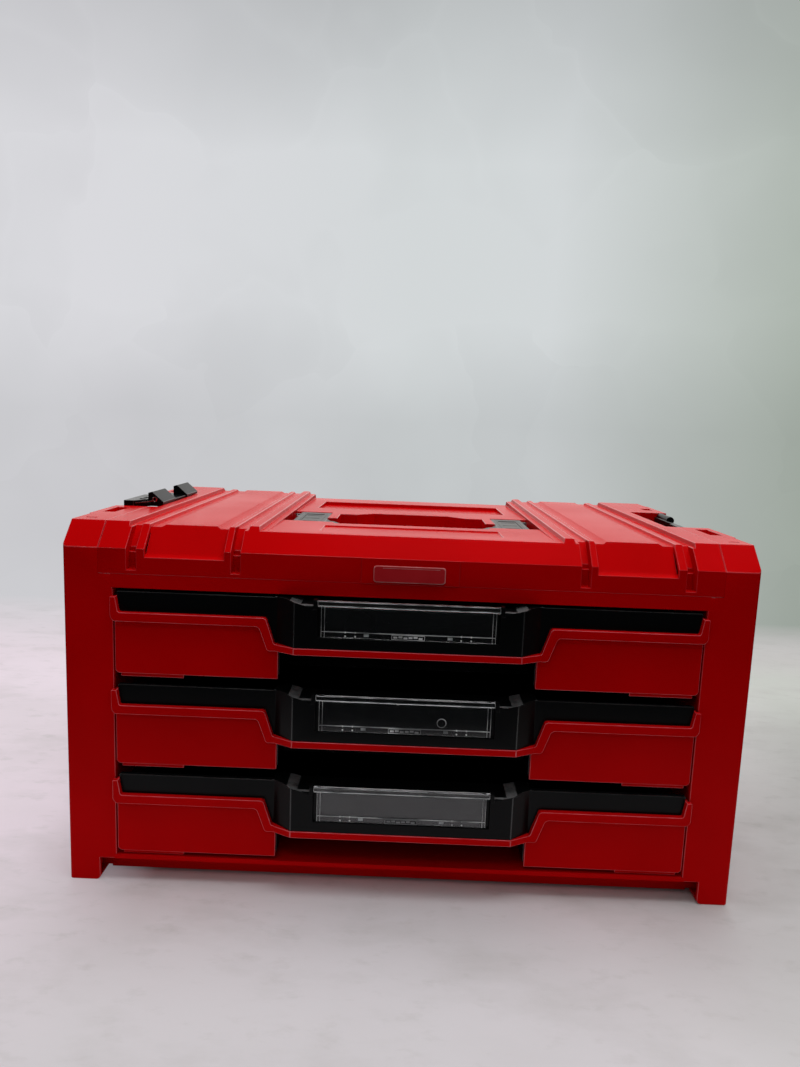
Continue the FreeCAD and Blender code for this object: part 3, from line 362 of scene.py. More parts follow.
def setLamps():
    for name, lamp in lamps.items():
        data = bpy.data.lights.new(name, "AREA")
        data.shape = "RECTANGLE"
        data.size, data.size_y = lamp["size"]
        data.energy = lamp["power"]
        item = addToScene(name, data)
        item.location = lamp["place"]
        away = Vector((0, 0, lamp["aim"])) - Vector(lamp["place"])
        item.rotation_euler = away.to_track_quat("-Z", "Y").to_euler()
        item.visible_glossy = lamp["gloss"]


setCamera()
setWorld()
setFloor()
setLamps()
bpy.context.scene.view_settings.view_transform = "Standard"
print("camera, room and lamps ready")


# shader groups shared by the finishes

def makeGrainGroup():
    sizes = [("Fine Scale", "Float", 1800.0), ("Fine Height", "Float", 0.3)]
    sizes += [("Flow Scale", "Float", 14.0), ("Flow Height", "Float", 0.7)]
    group, given, result = newGroup("mouldedGrain", sizes, [("Height", "Float"), ("Flow", "Float")])
    place = objectPlace(group)
    fine = addNode(group, "TexNoise", Vector=place, Scale=given["Fine Scale"], Detail=3.0, Roughness=0.6)
    flow = addNode(group, "TexNoise", Vector=place, Scale=given["Flow Scale"], Detail=2.0, Roughness=0.45)
    fineHeight = product(group, fine.outputs["Fac"], given["Fine Height"])
    flowHeight = product(group, flow.outputs["Fac"], given["Flow Height"])
    feed(group, calculate(group, "ADD", fineHeight, flowHeight), result["Height"])
    feed(group, flow.outputs["Fac"], result["Flow"])
    return group


wearAndHighlightPatches = (0.30, 0.60, 0.25, 1.0)  # the noise at which a patch begins and is full, and the painted highlight and wear at each


def makeWearAndHighlightGroup():
    # "rim" says how much painted highlight and wear each rounded edge gets: a lighter colour painted on the
    # edges
    sizes = [("Patch Scale", "Float", 60.0), ("Amount", "Float", 0.5)]
    group, given, result = newGroup("edgeWear", sizes, [("Wear", "Float")])
    rim = addNode(group, "Attribute")
    rim.attribute_name = "rim"
    place = objectPlace(group)
    patches = addNode(group, "TexNoise", Vector=place, Scale=given["Patch Scale"], Detail=4.0, Roughness=0.65)
    patch = mapRange(group, patches.outputs["Fac"], *wearAndHighlightPatches)
    feed(group, product(group, rim.outputs["Fac"], patch, given["Amount"]), result["Wear"])
    return group


dustLook = {
    "facing": (0.75, 0.95),  # how far up a face looks before dust rests on it
    "specks": (0.5, 0.7, 0.35, 1.0),
    "cloudScale": 9.0,
    "clouds": (0.35, 0.7, 0.4, 1.0),
    "dulling": 0.6,  # roughness that full dust adds
}


def makeDustGroup():
    sizes = [("Amount", "Float", 0.1), ("Speck Scale", "Float", 420.0)]
    group, given, result = newGroup("restingDust", sizes, [("Dust", "Float")])
    normal = addNode(group, "NewGeometry").outputs["Normal"]
    up = mapRange(group, addNode(group, "SeparateXYZ", Vector=normal).outputs["Z"], *dustLook["facing"])
    place = objectPlace(group)
    specks = addNode(group, "TexNoise", Vector=place, Scale=given["Speck Scale"], Detail=5.0, Roughness=0.7)
    clouds = addNode(group, "TexNoise", Vector=place, Scale=dustLook["cloudScale"], Detail=3.0)
    speck = mapRange(group, specks.outputs["Fac"], *dustLook["specks"])
    cloud = mapRange(group, clouds.outputs["Fac"], *dustLook["clouds"])
    feed(group, product(group, speck, cloud, up, given["Amount"]), result["Dust"])
    return group


grainGroup = makeGrainGroup()
wearAndHighlightGroup = makeWearAndHighlightGroup()
dustGroup = makeDustGroup()


# finishes

flowSpan = {"color": (0.35, 0.65), "roughness": (0.3, 0.7)}  # reach of the grain's slow waves
# the lighter colour painted on the rounded edges is a painted highlight as well as wear
finishes = {
    "red_plastic": {
        "color": (0.58, 0.0003, 0.0016), "flowColor": (0.53, 0.0002, 0.0010), "wornColor": (0.80, 0.13, 0.16),
        "dustColor": (0.72, 0.42, 0.42), "roughness": (0.22, 0.28), "wear": 0.7, "dust": 0.012,
        "shader": {"Specular IOR Level": 0.022}, "grain": {"Fine Scale": 1700.0}, "relief": (0.04, 0.0006),
    },
    "black_plastic": {
        "color": (0.0022, 0.0026, 0.0030), "flowColor": (0.0016, 0.0019, 0.0022),
        "wornColor": (0.13, 0.133, 0.136), "dustColor": (0.22, 0.22, 0.21),
        "roughness": (0.26, 0.34), "wear": 0.45, "dust": 0.012,
        "shader": {"Specular IOR Level": 0.12}, "grain": {"Fine Scale": 1500.0}, "relief": (0.05, 0.0006),
    },
    "grey_plastic": {
        "color": (0.145, 0.140, 0.136), "flowColor": (0.128, 0.124, 0.120), "wornColor": (0.34, 0.33, 0.33),
        "dustColor": (0.35, 0.34, 0.33), "roughness": (0.48, 0.56), "wear": 0.6, "dust": 0.10,
        "shader": {"Specular IOR Level": 0.40}, "grain": {"Fine Scale": 1300.0}, "relief": (0.12, 0.0006),
    },
}
# rounded edges come out of the mould glossier than the grained faces, and hold no dust
rimLooks = {
    "red_plastic": {"shader": {"Specular IOR Level": 0.60}, "roughness": (0.19, 0.25), "dust": 0.0},
    "black_plastic": {"shader": {"Specular IOR Level": 0.60}, "roughness": (0.20, 0.28), "dust": 0.0},
    "grey_plastic": {"shader": {"Specular IOR Level": 0.50}, "roughness": (0.34, 0.42), "dust": 0.0},
}


def startFinish(name, look):
    # what is the same all over is set on the shader's own sockets
    material = bpy.data.materials.new(name)
    material.use_nodes = True
    tree = material.node_tree
    shader = tree.nodes["Principled BSDF"].inputs
    for label, value in look["shader"].items():
        shader[label].default_value = value
    grain = useGroup(tree, grainGroup, **look["grain"])
    strength, distance = look["relief"]
    bump = addNode(tree, "Bump", Strength=strength, Distance=distance, Height=grain["Height"])
    feed(tree, bump.outputs["Normal"], shader["Normal"])
    return material, tree, shader, grain["Flow"]


# rims painted lighter: a painted highlight along the edges together with wear
def wornAndHighlighted(tree, look, color):
    wear = useGroup(tree, wearAndHighlightGroup, Amount=look["wear"])["Wear"]
    return mixColors(tree, wear, color, look["wornColor"])


def plasticFinish(name, look):
    material, tree, shader, flow = startFinish(name, look)
    dust = useGroup(tree, dustGroup, Amount=look["dust"])["Dust"]
    color = mixColors(tree, mapRange(tree, flow, *flowSpan["color"]), look["color"], look["flowColor"])
    color = mixColors(tree, dust, wornAndHighlighted(tree, look, color), look["dustColor"])
    feed(tree, color, shader["Base Color"])
    rough = mapRange(tree, flow, *flowSpan["roughness"], *look["roughness"])
    dusty = product(tree, dust, dustLook["dulling"])
    feed(tree, calculate(tree, "ADD", rough, dusty, clamp=True), shader["Roughness"])
    return material


metalGrain = {"Fine Scale": 900.0, "Flow Height": 0.2}
metals = {
    "zinc_steel": {
        "color": (0.56, 0.58, 0.61), "spangleColor": (0.46, 0.48, 0.52), "wornColor": (0.8, 0.8, 0.8),
        "roughness": (0.28, 0.40), "wear": 0.8, "spangle": 130.0, "stretch": (1, 1, 1),
        "shader": {"Metallic": 1.0}, "grain": metalGrain, "relief": (0.06, 0.0004),
    },
    "steel": {
        "color": (0.55, 0.55, 0.56), "spangleColor": (0.42, 0.42, 0.43), "wornColor": (0.8, 0.8, 0.8),
        "roughness": (0.21, 0.33), "wear": 0.8, "spangle": 500.0, "stretch": (1, 0.05, 1),
        "shader": {"Metallic": 1.0}, "grain": metalGrain, "relief": (0.06, 0.0004),
    },
}


def metalFinish(name, look):
    material, tree, shader, flow = startFinish(name, look)
    stretched = addNode(tree, "Mapping", Vector=objectPlace(tree), Scale=look["stretch"]).outputs[0]
    spangles = addNode(tree, "TexVoronoi", Vector=stretched, Scale=look["spangle"])
    spangle = addNode(tree, "SeparateColor", Color=spangles.outputs["Color"]).outputs[0]
    color = mixColors(tree, spangle, look["color"], look["spangleColor"])
    feed(tree, wornAndHighlighted(tree, look, color), shader["Base Color"])
    feed(tree, mapRange(tree, spangle, 0.0, 1.0, *look["roughness"]), shader["Roughness"])
    return material


clearLook = {
    "smears": (0.45, 0.75), "roughness": (0.03, 0.07),
    "shader": {"Base Color": (0.93, 0.95, 0.96, 1.0), "Transmission Weight": 1.0, "IOR": 1.49},
    "grain": {"Fine Scale": 300.0, "Flow Scale": 30.0, "Fine Height": 0.0, "Flow Height": 1.0},
    "relief": (0.006, 0.0005),
}
edgeHighlightLook = {
    "color": (0.86, 0.88, 0.88), "thinColor": (0.22, 0.23, 0.235), "patches": (0.42, 0.62),
    "roughness": (0.30, 0.45), "shader": {"Transmission Weight": 0.25, "IOR": 1.49},
    "grain": {"Fine Scale": 900.0, "Flow Scale": 75.0}, "relief": (0.08, 0.0004),
}
plateLook = {
    "color": (0.49, 0.006, 0.012), "cloudColor": (0.56, 0.016, 0.022), "wornColor": (0.75, 0.35, 0.35),
    "roughness": (0.12, 0.22), "wear": 0.5,
    "shader": {"Coat Weight": 1.0, "Coat Roughness": 0.04, "Coat IOR": 1.5},
    "grain": {"Flow Scale": 90.0, "Fine Height": 0.1}, "relief": (0.05, 0.0005),
}


def clearFinish(name, look):
    material, tree, shader, flow = startFinish(name, look)
    feed(tree, mapRange(tree, flow, *look["smears"], *look["roughness"]), shader["Roughness"])
    return material


def edgeHighlightFinish(name, look):
    # the edges and moulded marks of a clear part painted pale: painted highlights where its light gathers
    material, tree, shader, flow = startFinish(name, look)
    patch = mapRange(tree, flow, *look["patches"])
    feed(tree, mixColors(tree, patch, look["color"], look["thinColor"]), shader["Base Color"])
    feed(tree, mapRange(tree, flow, *flowSpan["roughness"], *look["roughness"]), shader["Roughness"])
    return material


def plateFinish(name, look):
    material, tree, shader, flow = startFinish(name, look)
    color = mixColors(tree, flow, look["color"], look["cloudColor"])
    feed(tree, wornAndHighlighted(tree, look, color), shader["Base Color"])
    feed(tree, mapRange(tree, flow, *flowSpan["roughness"], *look["roughness"]), shader["Roughness"])
    return material


materials = {name: plasticFinish(name, look) for name, look in finishes.items()}
for name, look in rimLooks.items():
    materials[name + "_rim"] = plasticFinish(name + "_rim", {**finishes[name], **look})
materials.update({name: metalFinish(name, look) for name, look in metals.items()})
materials["clear_plastic"] = clearFinish("clear_plastic", clearLook)
materials["clear_plate"] = plateFinish("clear_plate", plateLook)
materials["clear_edges"] = edgeHighlightFinish("clear_edges", edgeHighlightLook)

slotOf = {entry["node"]: entry["material_slot"] for entry in frame["record"]["subparts"]}
for nodeName, item in nodes.items():
    item.data.materials.clear()
    item.data.materials.append(materials[slotOf[nodeName]])
print("finishes ready:", ", ".join(materials))


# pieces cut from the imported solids, with every sharp edge rounded

softEdges = {
    "top_cover": 0.45, "side_frame_right": 0.45, "side_frame_left": 0.45, "top_frame": 0.35,
    "case_floor": 0.4, "case_back": 0.35, "carry_handle": 0.35, "latch_right": 0.3, "latch_left": 0.3,
}
for drawer in drawerNames:
    softEdges.update({drawer + "_tub": 0.4, drawer + "_pull": 0.45, drawer + "_front": 0.4})
    softEdges[drawer + "_dividers"] = 0.3
    for side in sides:
        for member in ("case", "drawer"):
            softEdges[f"{drawer}_{member}_rail_{side}"] = 0.25
shading = {"sharpFrom": 40, "weight": 95}
angles = {"sharp": 26.0, "coverSharp": 40.0, "flat": 0.5}  # degrees between faces


def showPiece(bm, name, slot, body, replaced=(), finish=None):
    mesh = bpy.data.meshes.new(name)
    bm.to_mesh(mesh)
    bm.free()
    for polygon in mesh.polygons:
        polygon.use_smooth = True
    mesh.set_sharp_from_angle(angle=math.radians(shading["sharpFrom"]))
    mesh.materials.append(materials[finish or slot])
    if slot + "_rim" in materials:
        mesh.materials.append(materials[slot + "_rim"])
    piece = addToScene(name, mesh)
    smooth = piece.modifiers.new("evenShading", "WEIGHTED_NORMAL")
    smooth.keep_sharp = True
    smooth.weight = shading["weight"]
    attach(piece, body)
    if replaced:
        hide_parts(*replaced)


# planes |x| where case pieces meet with no line to be seen, each up to a height
joints = ((195.0, 300.0), (202.8, 232.2), (203.0, 232.2))


def onJoint(edge):
    for x, top in joints:
        if all(abs(abs(vert.co.x) - x * mm) < 2e-5 and vert.co.z < (top + 0.1) * mm for vert in edge.verts):
            return True
    return False


def isSharp(edge, least=angles["sharp"]):
    return len(edge.link_faces) == 2 and edge.calc_face_angle(0.0) > math.radians(least)


def bevelEdges(bm, edges, width, steps, clamp=True, material=-1):
    made = bmesh.ops.bevel(
        bm, geom=edges, offset=width * mm, offset_type="OFFSET", segments=steps, profile=0.5,
        affect="EDGES", clamp_overlap=clamp, material=material, loop_slide=True,
    )
    return [face for face in made["faces"] if face.is_valid]


def markWearAndHighlight(bm, faces, worn):
    rim = bm.faces.layers.float["rim"]
    for face in faces:
        face[rim] = worn
        face.material_index = 1


# corners that are rounder than the rest: x, height over the front's lower edge, radius
roundCorners = {
    "front": [
        (87.1, 24.6, 2.0), (92.8, 42.0, 2.0), (97.4, 36.0, 2.0), (91.6, 20.0, 1.6),
        (188.9, 42.0, 1.2), (194.2, 38.4, 1.6), (191.8, 36.0, 1.6),
    ],
    "pull": [(80.0, 56.3, 3.5), (87.0, 55.6, 3.0), (87.0, 33.5, 3.0)],
}
roundSteps = 4


def roundCornersOf(bm, part, base):
    for x, up, radius in roundCorners[part]:
        picked = []
        for edge in bm.edges:
            first, second = (vert.co / mm for vert in edge.verts)
            level = abs(first.x - second.x) < 0.05 and abs(first.z - second.z) < 0.05
            here = abs(abs(first.x) - x) < 0.1 and abs(first.z - base - up) < 0.1
            if level and here and abs(first.y - second.y) > 0.8 and len(edge.link_faces) == 2:
                picked.append(edge)
        bevelEdges(bm, picked, radius, roundSteps)


# the slope's foot is rounded and carries a painted highlight line
slopeFoot = {"z": 232.0, "y": -143.0, "radius": 1.0, "worn": 0.25}
# the pull's rounded top edges and the crest beside its window carry a strong painted highlight
pullTop = {
    "above": 52.9, "x": (61.4, 89.0), "y": -143.9, "radius": 2.4, "worn": 2.6,
    "crest": (-145.0, 53.0, 0.2),  # y, height and steepness from which a face gets the painted highlight
}


def roundWhere(bm, look, chosen):
    picked = [edge for edge in bm.edges if isSharp(edge) and all(chosen(vert.co / mm) for vert in edge.verts)]
    markWearAndHighlight(bm, bevelEdges(bm, picked, look["radius"], roundSteps), look["worn"])


def roundSlopeFoot(bm):
    level = slopeFoot["z"]
    roundWhere(bm, slopeFoot, lambda point: abs(point.z - level) < 0.15 and point.y < slopeFoot["y"])


def roundPullTop(bm, base):
    low, high = pullTop["x"]
    lowest = base + pullTop["above"]
    beside = lambda point: point.z > lowest and point.y < pullTop["y"] and low < abs(point.x) < high
    roundWhere(bm, pullTop, beside)


def highlightCrest(bm, base):
    # painted highlight on the top of the pull beside its window
    low, high = pullTop["x"]
    front, up, slope = pullTop["crest"]
    for face in bm.faces:
        centre = face.calc_center_median() / mm
        above = centre.y < front and centre.z > base + up and face.normal.z > slope
        if above and low < abs(centre.x) < high:
            markWearAndHighlight(bm, [face], pullTop["worn"])


# places whose rims get less painted highlight and wear: x either side, y, z, share of it kept
dimmedRims = {
    "pull": [((0.0, 61.3), (-200, 200), (0, 300), 0.0)],
    "cover": [
        ((0.0, 61.0), (-72, -2), (210, 241), 0.0), ((0.0, 60.0), (-200, -140), (200, 231), 0.3),
        ((60.0, 210.0), (-200, -140), (200, 231.5), 0.5),
    ],
}


def dimRims(bm, part):
    rim = bm.faces.layers.float["rim"]
    for reach, y, z, share in dimmedRims[part]:
        for face in bm.faces:
            centre = face.calc_center_median() / mm
            if reach[0] <= abs(centre.x) < reach[1] and y[0] < centre.y < y[1] and z[0] < centre.z < z[1]:
                face[rim] *= share
                if share == 0.0:
                    face.material_index = 0


def roundEdges(bm, width, steps=2, sharpest=angles["sharp"], rimIndex=1, worn=None):
    sharp = [edge for edge in bm.edges if isSharp(edge, sharpest) and not onJoint(edge)]
    made = bevelEdges(bm, sharp, width, steps, False, rimIndex)
    if worn is None:
        return
    rim = bm.faces.layers.float["rim"]
    for face in made:
        face.normal_update()
        # only edges that stand out get the painted highlight and wear; inner corners stay as they are
        shared = [edge for edge in face.edges if len(edge.link_faces) == 2]
        if sum(edge.calc_face_angle_signed(0.0) * edge.calc_length() for edge in shared) > 0:
            face[rim] = worn
        else:
            face.material_index = 0


def dissolveFlat(bm):
    flat = math.radians(angles["flat"])
    bmesh.ops.dissolve_limit(bm, angle_limit=flat, verts=bm.verts[:], edges=bm.edges[:])


def softenNode(nodeName, width):
    words = nodeName.split("_")
    part, base = words[-1], drawerBase.get(words[0])
    bm = bmesh.new()
    bm.from_mesh(nodes[nodeName].data)
    low = [min(vert.co[i] for vert in bm.verts) for i in range(3)]
    high = [max(vert.co[i] for vert in bm.verts) for i in range(3)]
    bmesh.ops.remove_doubles(bm, verts=bm.verts[:], dist=2e-6)
    dissolveFlat(bm)
    bm.faces.layers.float.new("rim")
    if part in roundCorners:
        roundCornersOf(bm, part, base)
    if part == "pull":
        roundPullTop(bm, base)
    if part == "cover":
        roundSlopeFoot(bm)
    sharpest = angles["coverSharp"] if part == "cover" else angles["sharp"]
    rimIndex = 1 if slotOf[nodeName] + "_rim" in materials else 0
    # drawer fronts get more painted edge highlight and wear than the case
    roundEdges(bm, width, 2, sharpest, rimIndex, 1.0 if part == "front" else 0.4)
    if part in dimmedRims:
        dimRims(bm, part)
    if part == "pull":
        highlightCrest(bm, base)
    for vert in bm.verts:  # tight corners of the rounding stay inside the moulding's own size
        for i in range(3):
            vert.co[i] = min(max(vert.co[i], low[i]), high[i])
    pieceName = words[0] + "".join(word.capitalize() for word in words[1:]) + "Moulded"
    bmesh.ops.triangulate(bm, faces=[face for face in bm.faces if len(face.verts) > 4])
    showPiece(bm, pieceName, slotOf[nodeName], nodes[nodeName]["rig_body"], (nodeName,))


for nodeName, width in softEdges.items():
    softenNode(nodeName, width)
print("moulded pieces:", len(softEdges))


# small helpers for the pieces made here; sizes in millimetres

def addBlock(bm, x, y, z):
    corners = [bm.verts.new((px * mm, py * mm, pz * mm)) for pz in z for py in y for px in x]
    for face in ((0, 2, 3, 1), (4, 5, 7, 6), (0, 1, 5, 4), (2, 6, 7, 3), (0, 4, 6, 2), (1, 3, 7, 5)):
        bm.faces.new([corners[i] for i in face])


def bridge(bm, first, second):
    # faces between two rings of vertices, either of which may be a single point
    made = []
    count = max(len(first), len(second))
    for i in range(count):
        j = (i + 1) % count
        if len(first) == 1:
            corners = (first[0], second[i], second[j])
        elif len(second) == 1:
            corners = (first[i], first[j], second[0])
        else:
            corners = (first[i], first[j], second[j], second[i])
        made.append(bm.faces.new(corners))
    return made


def addRings(bm, rings):
    return [[bm.verts.new([value * mm for value in point]) for point in ring] for ring in rings]


def addPrism(bm, start, end):
    first, second = addRings(bm, (start, end))
    bm.faces.new(first)
    bm.faces.new(second[::-1])
    for i in range(len(first)):
        j = (i + 1) % len(first)
        bm.faces.new((first[j], first[i], second[i], second[j]))


def addLathe(bm, profile, place, axis, segments=20, closed=False):
    # profile of (radius, height along the axis), from the axis back to it, or closed on itself
    up = Vector(axis).normalized()
    side = up.orthogonal().normalized()
    other = up.cross(side)
    rings = []
    for radius, height in profile:
        centre = Vector(place) + up * height
        turns = [2 * math.pi * i / segments for i in range(segments)] if radius else [0.0]
        points = [centre + (side * math.cos(turn) + other * math.sin(turn)) * radius for turn in turns]
        rings.append([bm.verts.new(point * mm) for point in points])
    for first, second in zip(rings, rings[1:] + (rings[:1] if closed else [])):
        bridge(bm, first, second)


def orient(bm):
    bmesh.ops.recalc_face_normals(bm, faces=bm.faces[:])


def meshFrom(bm, name):
    orient(bm)
    mesh = bpy.data.meshes.new(name)
    bm.to_mesh(mesh)
    bm.free()
    return mesh


def combine(base, others, operation="UNION"):
    # meshes joined or cut with the Boolean modifier; gives a new bmesh
    helper = addToScene("helper", base)
    tools = []
    for mesh in others:
        tool = addToScene("tool", mesh)
        step = helper.modifiers.new("step", "BOOLEAN")
        step.operation = operation
        step.solver = "EXACT"
        step.object = tool
        tools.append(tool)
    bpy.context.view_layer.update()
    shape = helper.evaluated_get(bpy.context.evaluated_depsgraph_get()).to_mesh()
    bm = bmesh.new()
    bm.from_mesh(shape)
    for item in [helper] + tools:
        mesh = item.data
        bpy.data.objects.remove(item)
        bpy.data.meshes.remove(mesh)
    return bm


def blockMesh(x, y, z):
    bm = bmesh.new()
    addBlock(bm, x, y, z)
    return meshFrom(bm, "block")


def rodMesh(radius, place, axis, length, segments=20):
    bm = bmesh.new()
    addLathe(bm, [(0, 0), (radius, 0), (radius, length), (0, length)], place, axis, segments)
    return meshFrom(bm, "rod")


# clear label windows

window = {
    "face": -154.8,  # y of the rail's front
    "front": -155.0,  # y that the marks moulded on it stay behind
    "half": 56.0,
    "foot": 32.6,
    "paneTop": 54.0,
    "paneThick": 1.4,
    "sheetThick": 0.8,
    "border": 2.3,
    "footStrip": 4.0,
    "railHalf": 58.3,
    "railLow": 52.5,
    "railHigh": 56.5,
    "railDepth": 2.2,
    "pinRadius": 0.9,
    "pinEnd": 60.6,
    "pinHeight": 54.4,
    "line": 0.22,  # width of the painted edge highlights
    "lineLow": 53.1,
    "lineHigh": 56.2,
    "tabHalf": 10.6,
    "tabHeight": 3.5,
    "tabRibs": 6,
    "studs": (34.0, 40.4),
    "studRadius": 0.55,
    "blockAt": 26.9,
    "gateMark": (24.0, 41.0, 3.1),  # ring left by the mould on the middle pane
    "edge": 0.14,
    "sharp": 50.0,
}


def makePane(drawer, base):
    face, half, border = window["face"], window["half"], window["border"]
    foot, top = base + window["foot"], base + window["paneTop"]
    back = face + window["paneThick"]
    low, high = base + window["railLow"], base + window["railHigh"]
    rear, end = face + window["railDepth"], window["railHalf"]
    rail = [(face + 0.3, low), (face, low + 0.3), (face, high - 0.4), (face + 0.4, high)]
    rail += [(rear, high), (rear, low)]
    pinEnd, pinPlace = window["pinEnd"], (-window["pinEnd"], face + 1.0, base + window["pinHeight"])
    bm = bmesh.new()
    addPrism(bm, *([(x, y, z) for y, z in rail] for x in (-end, end)))
    parts = [
        blockMesh((-half, half), (back - window["sheetThick"], back), (foot, top)),
        blockMesh((-half, -half + border), (face + 0.1, back), (foot, top)),
        blockMesh((half - border, half), (face + 0.1, back), (foot, top)),
        blockMesh((-half, half), (face + 0.2, back), (foot, foot + window["footStrip"])),
        rodMesh(window["pinRadius"], pinPlace, (1, 0, 0), 2 * pinEnd, 16),
    ]
    bm = combine(meshFrom(bm, "rail"), parts)
    dissolveFlat(bm)
    roundEdges(bm, window["edge"], 2, window["sharp"], rimIndex=0)
    showPiece(bm, drawer + "LabelFlap", "clear_plastic", drawer + "_label_flap", (drawer + "_label_window",))


def makePaneMarks(drawer, base):
    # the edges, the finger tab and the studs painted pale as highlights, just proud of the clear moulding
    face, line, half = window["face"], window["line"], window["half"]
    foot, rail, strip = base + window["foot"], window["railHalf"], window["footStrip"]
    low, high = base + window["lineLow"], base + window["lineHigh"]
    bm = bmesh.new()

    def bar(x, z, proud=0.12, sink=0.3):
        addBlock(bm, x, (face - proud, face + sink), z)

    bar((-rail + 0.3, rail - 0.3), (high - line, high - 0.05), 0.1, 0.6)
    bar((-rail + 0.3, rail - 0.3), (low + 0.05, low + line + 0.15), 0.2, 0.7)
    for side in (-1, 1):
        bar(sorted((side * (rail - line), side * rail)), (low + 0.3, high - 0.3))
        for x in (half, half - window["border"] + line):
            bar(sorted((side * (x - line * 0.8), side * x)), (foot + 0.1, low), 0.0)
    bar((-half + 0.3, half - 0.3), (foot + strip - line, foot + strip), 0.05, 0.5)
    tab, tabTop = window["tabHalf"], foot + window["tabHeight"]
    bar((-tab, tab), (tabTop - line, tabTop), 0.2, 0.5)
    bar((-tab, tab), (foot + 0.3, foot + 0.3 + line), 0.2, 0.5)
    for side in (-1, 1):
        bar(sorted((side * (tab - line), side * tab)), (foot + 0.3, tabTop), 0.2, 0.5)
    pitch = 2 * (tab - 0.9) / window["tabRibs"]
    for i in range(window["tabRibs"]):
        x = -tab + 0.9 + (i + 0.5) * pitch
        lift = 0.35 * math.sin(2.1 * i)
        bar((x - pitch * 0.42, x + pitch * 0.36), (foot + 1.25 + lift, tabTop - 1.1 + lift), 0.1)
    stud = window["studRadius"]
    profile = [(0, 0), (stud, 0), (stud, 0.45), (stud * 0.6, 0.6), (0, 0.62)]
    for side in (-1, 1):
        for at in window["studs"]:
            for up in (1.3, strip - 0.15):
                addLathe(bm, profile, (side * at, face + 0.45, foot + up), (0, -1, 0), 12)
        at = side * window["blockAt"]
        bar((at - 1.6, at + 1.6), (foot + 1.3, foot + 3.0), -0.7, 1.0)
    if drawer == "middle":
        x, z, radius = window["gateMark"]
        sheet = face + window["paneThick"] - window["sheetThick"]
        profile = [(radius - 0.35, 0), (radius, 0), (radius, 0.22), (radius - 0.35, 0.22)]
        addLathe(bm, profile, (x, sheet + 0.1, base + z), (0, -1, 0), 28, closed=True)
    orient(bm)
    assert all(vert.co.y > (window["front"] - 0.005) * mm for vert in bm.verts)
    showPiece(bm, drawer + "LabelEdges", "clear_plastic", drawer + "_label_flap", (), "clear_edges")


for drawer, base in drawerBase.items():
    makePane(drawer, base)
    makePaneMarks(drawer, base)
print("label windows ready")


# screws

screws = {
    "headRadius": 3.3,
    "headHeight": 1.75,
    "shankRadius": 1.55,
    "shank": 4.4,
    "coverShank": 8.9,
    "crossLength": 3.9,
    "crossWidth": 0.85,
    "crossDepth": 1.1,
    "slideHeadRadius": 3.1,
    "slideHeadHeight": 0.85,
}


def crossHead(radius, height, shank):
    # head on the plane z = 0 with its shank below, cross recess on top
    bm = bmesh.new()
    neck, tip = screws["shankRadius"], -shank + 0.6 if shank > 1 else 0
    dome = ((1.0, 0.35), (0.93, 0.68), (0.72, 0.9), (0.4, 1.0), (0.0, 1.0))
    profile = [(0, -shank), (neck * 0.7, -shank), (neck, tip), (neck, 0), (radius, 0)]
    profile += [(radius * share, height * up) for share, up in dome]
    addLathe(bm, profile, (0, 0, 0), (0, 0, 1), 24)
    body = meshFrom(bm, "head")
    long, wide = screws["crossLength"] / 2 * radius / screws["headRadius"], screws["crossWidth"] / 2
    deep = (height - min(screws["crossDepth"], height * 0.75), height + 1)
    bars = [blockMesh((-long, long), (-wide, wide), deep), blockMesh((-wide, wide), (-long, long), deep)]
    return meshFrom(combine(body, bars, "DIFFERENCE"), "screw")


def showScrews(pattern, places, axes, name, body, replaced=()):
    # each screw is turned a little, as a driver leaves it
    bm = bmesh.new()
    for index, (place, axis) in enumerate(zip(places, axes)):
        copy = pattern.copy()
        twist = Matrix.Rotation(0.4 + 1.3 * index, 4, "Z")
        aim = Vector(axis).to_track_quat("Z", "Y").to_matrix().to_4x4()
        copy.transform(Matrix.Translation(Vector(place) * mm) @ aim @ twist)
        bm.from_mesh(copy)
        bpy.data.meshes.remove(copy)
    showPiece(bm, name, "steel", body, replaced)


screwPlaces = {
    "cover": (187.75, (-114.4, 5.3, 125.0), 212.0),  # x either side, y, z
    "frontY": -138.9,
    "frontLow": (103.0, 168.5, 16.0),  # two x either side and the height over the front's lower edge
    "frontHigh": (135.75, 45.0),
    "slideY": (-80.4, 69.6),
    "slideUp": 25.0,
    "caseSlideX": 192.3,
    "drawerSlideX": 181.7,
}
bigScrew = crossHead(screws["headRadius"], screws["headHeight"], screws["shank"])
coverScrew = crossHead(screws["headRadius"], screws["headHeight"], screws["coverShank"])
slideScrew = crossHead(screws["slideHeadRadius"], screws["slideHeadHeight"], 0.0)
x, rows, z = screwPlaces["cover"]
places = [(side * x, y, z) for y in rows for side in (-1, 1)]
showScrews(coverScrew, places, [(0, 0, -1)] * len(places), "coverScrews", "case", ("cover_screws",))
for drawer, base in drawerBase.items():
    inner, outer, low = screwPlaces["frontLow"]
    middle, high = screwPlaces["frontHigh"]
    y, body = screwPlaces["frontY"], drawer + "_drawer"
    places = [(side * x, y, base + low) for x in (inner, outer) for side in (-1, 1)]
    places += [(side * middle, y, base + high) for side in (-1, 1)]
    aims = [(0, 1, 0)] * len(places)
    showScrews(bigScrew, places, aims, drawer + "FrontScrews", body, (drawer + "_front_screws",))
    for name, x, facing, carrier in (("Case", "caseSlideX", -1, "case"), ("Drawer", "drawerSlideX", 1, body)):
        up = base + screwPlaces["slideUp"]
        places = [(side * screwPlaces[x], y, up) for y in screwPlaces["slideY"] for side in (-1, 1)]
        aims = [(facing, 0, 0) if place[0] > 0 else (-facing, 0, 0) for place in places]
        showScrews(slideScrew, places, aims, drawer + name + "SlideScrews", carrier)
print("screws ready")


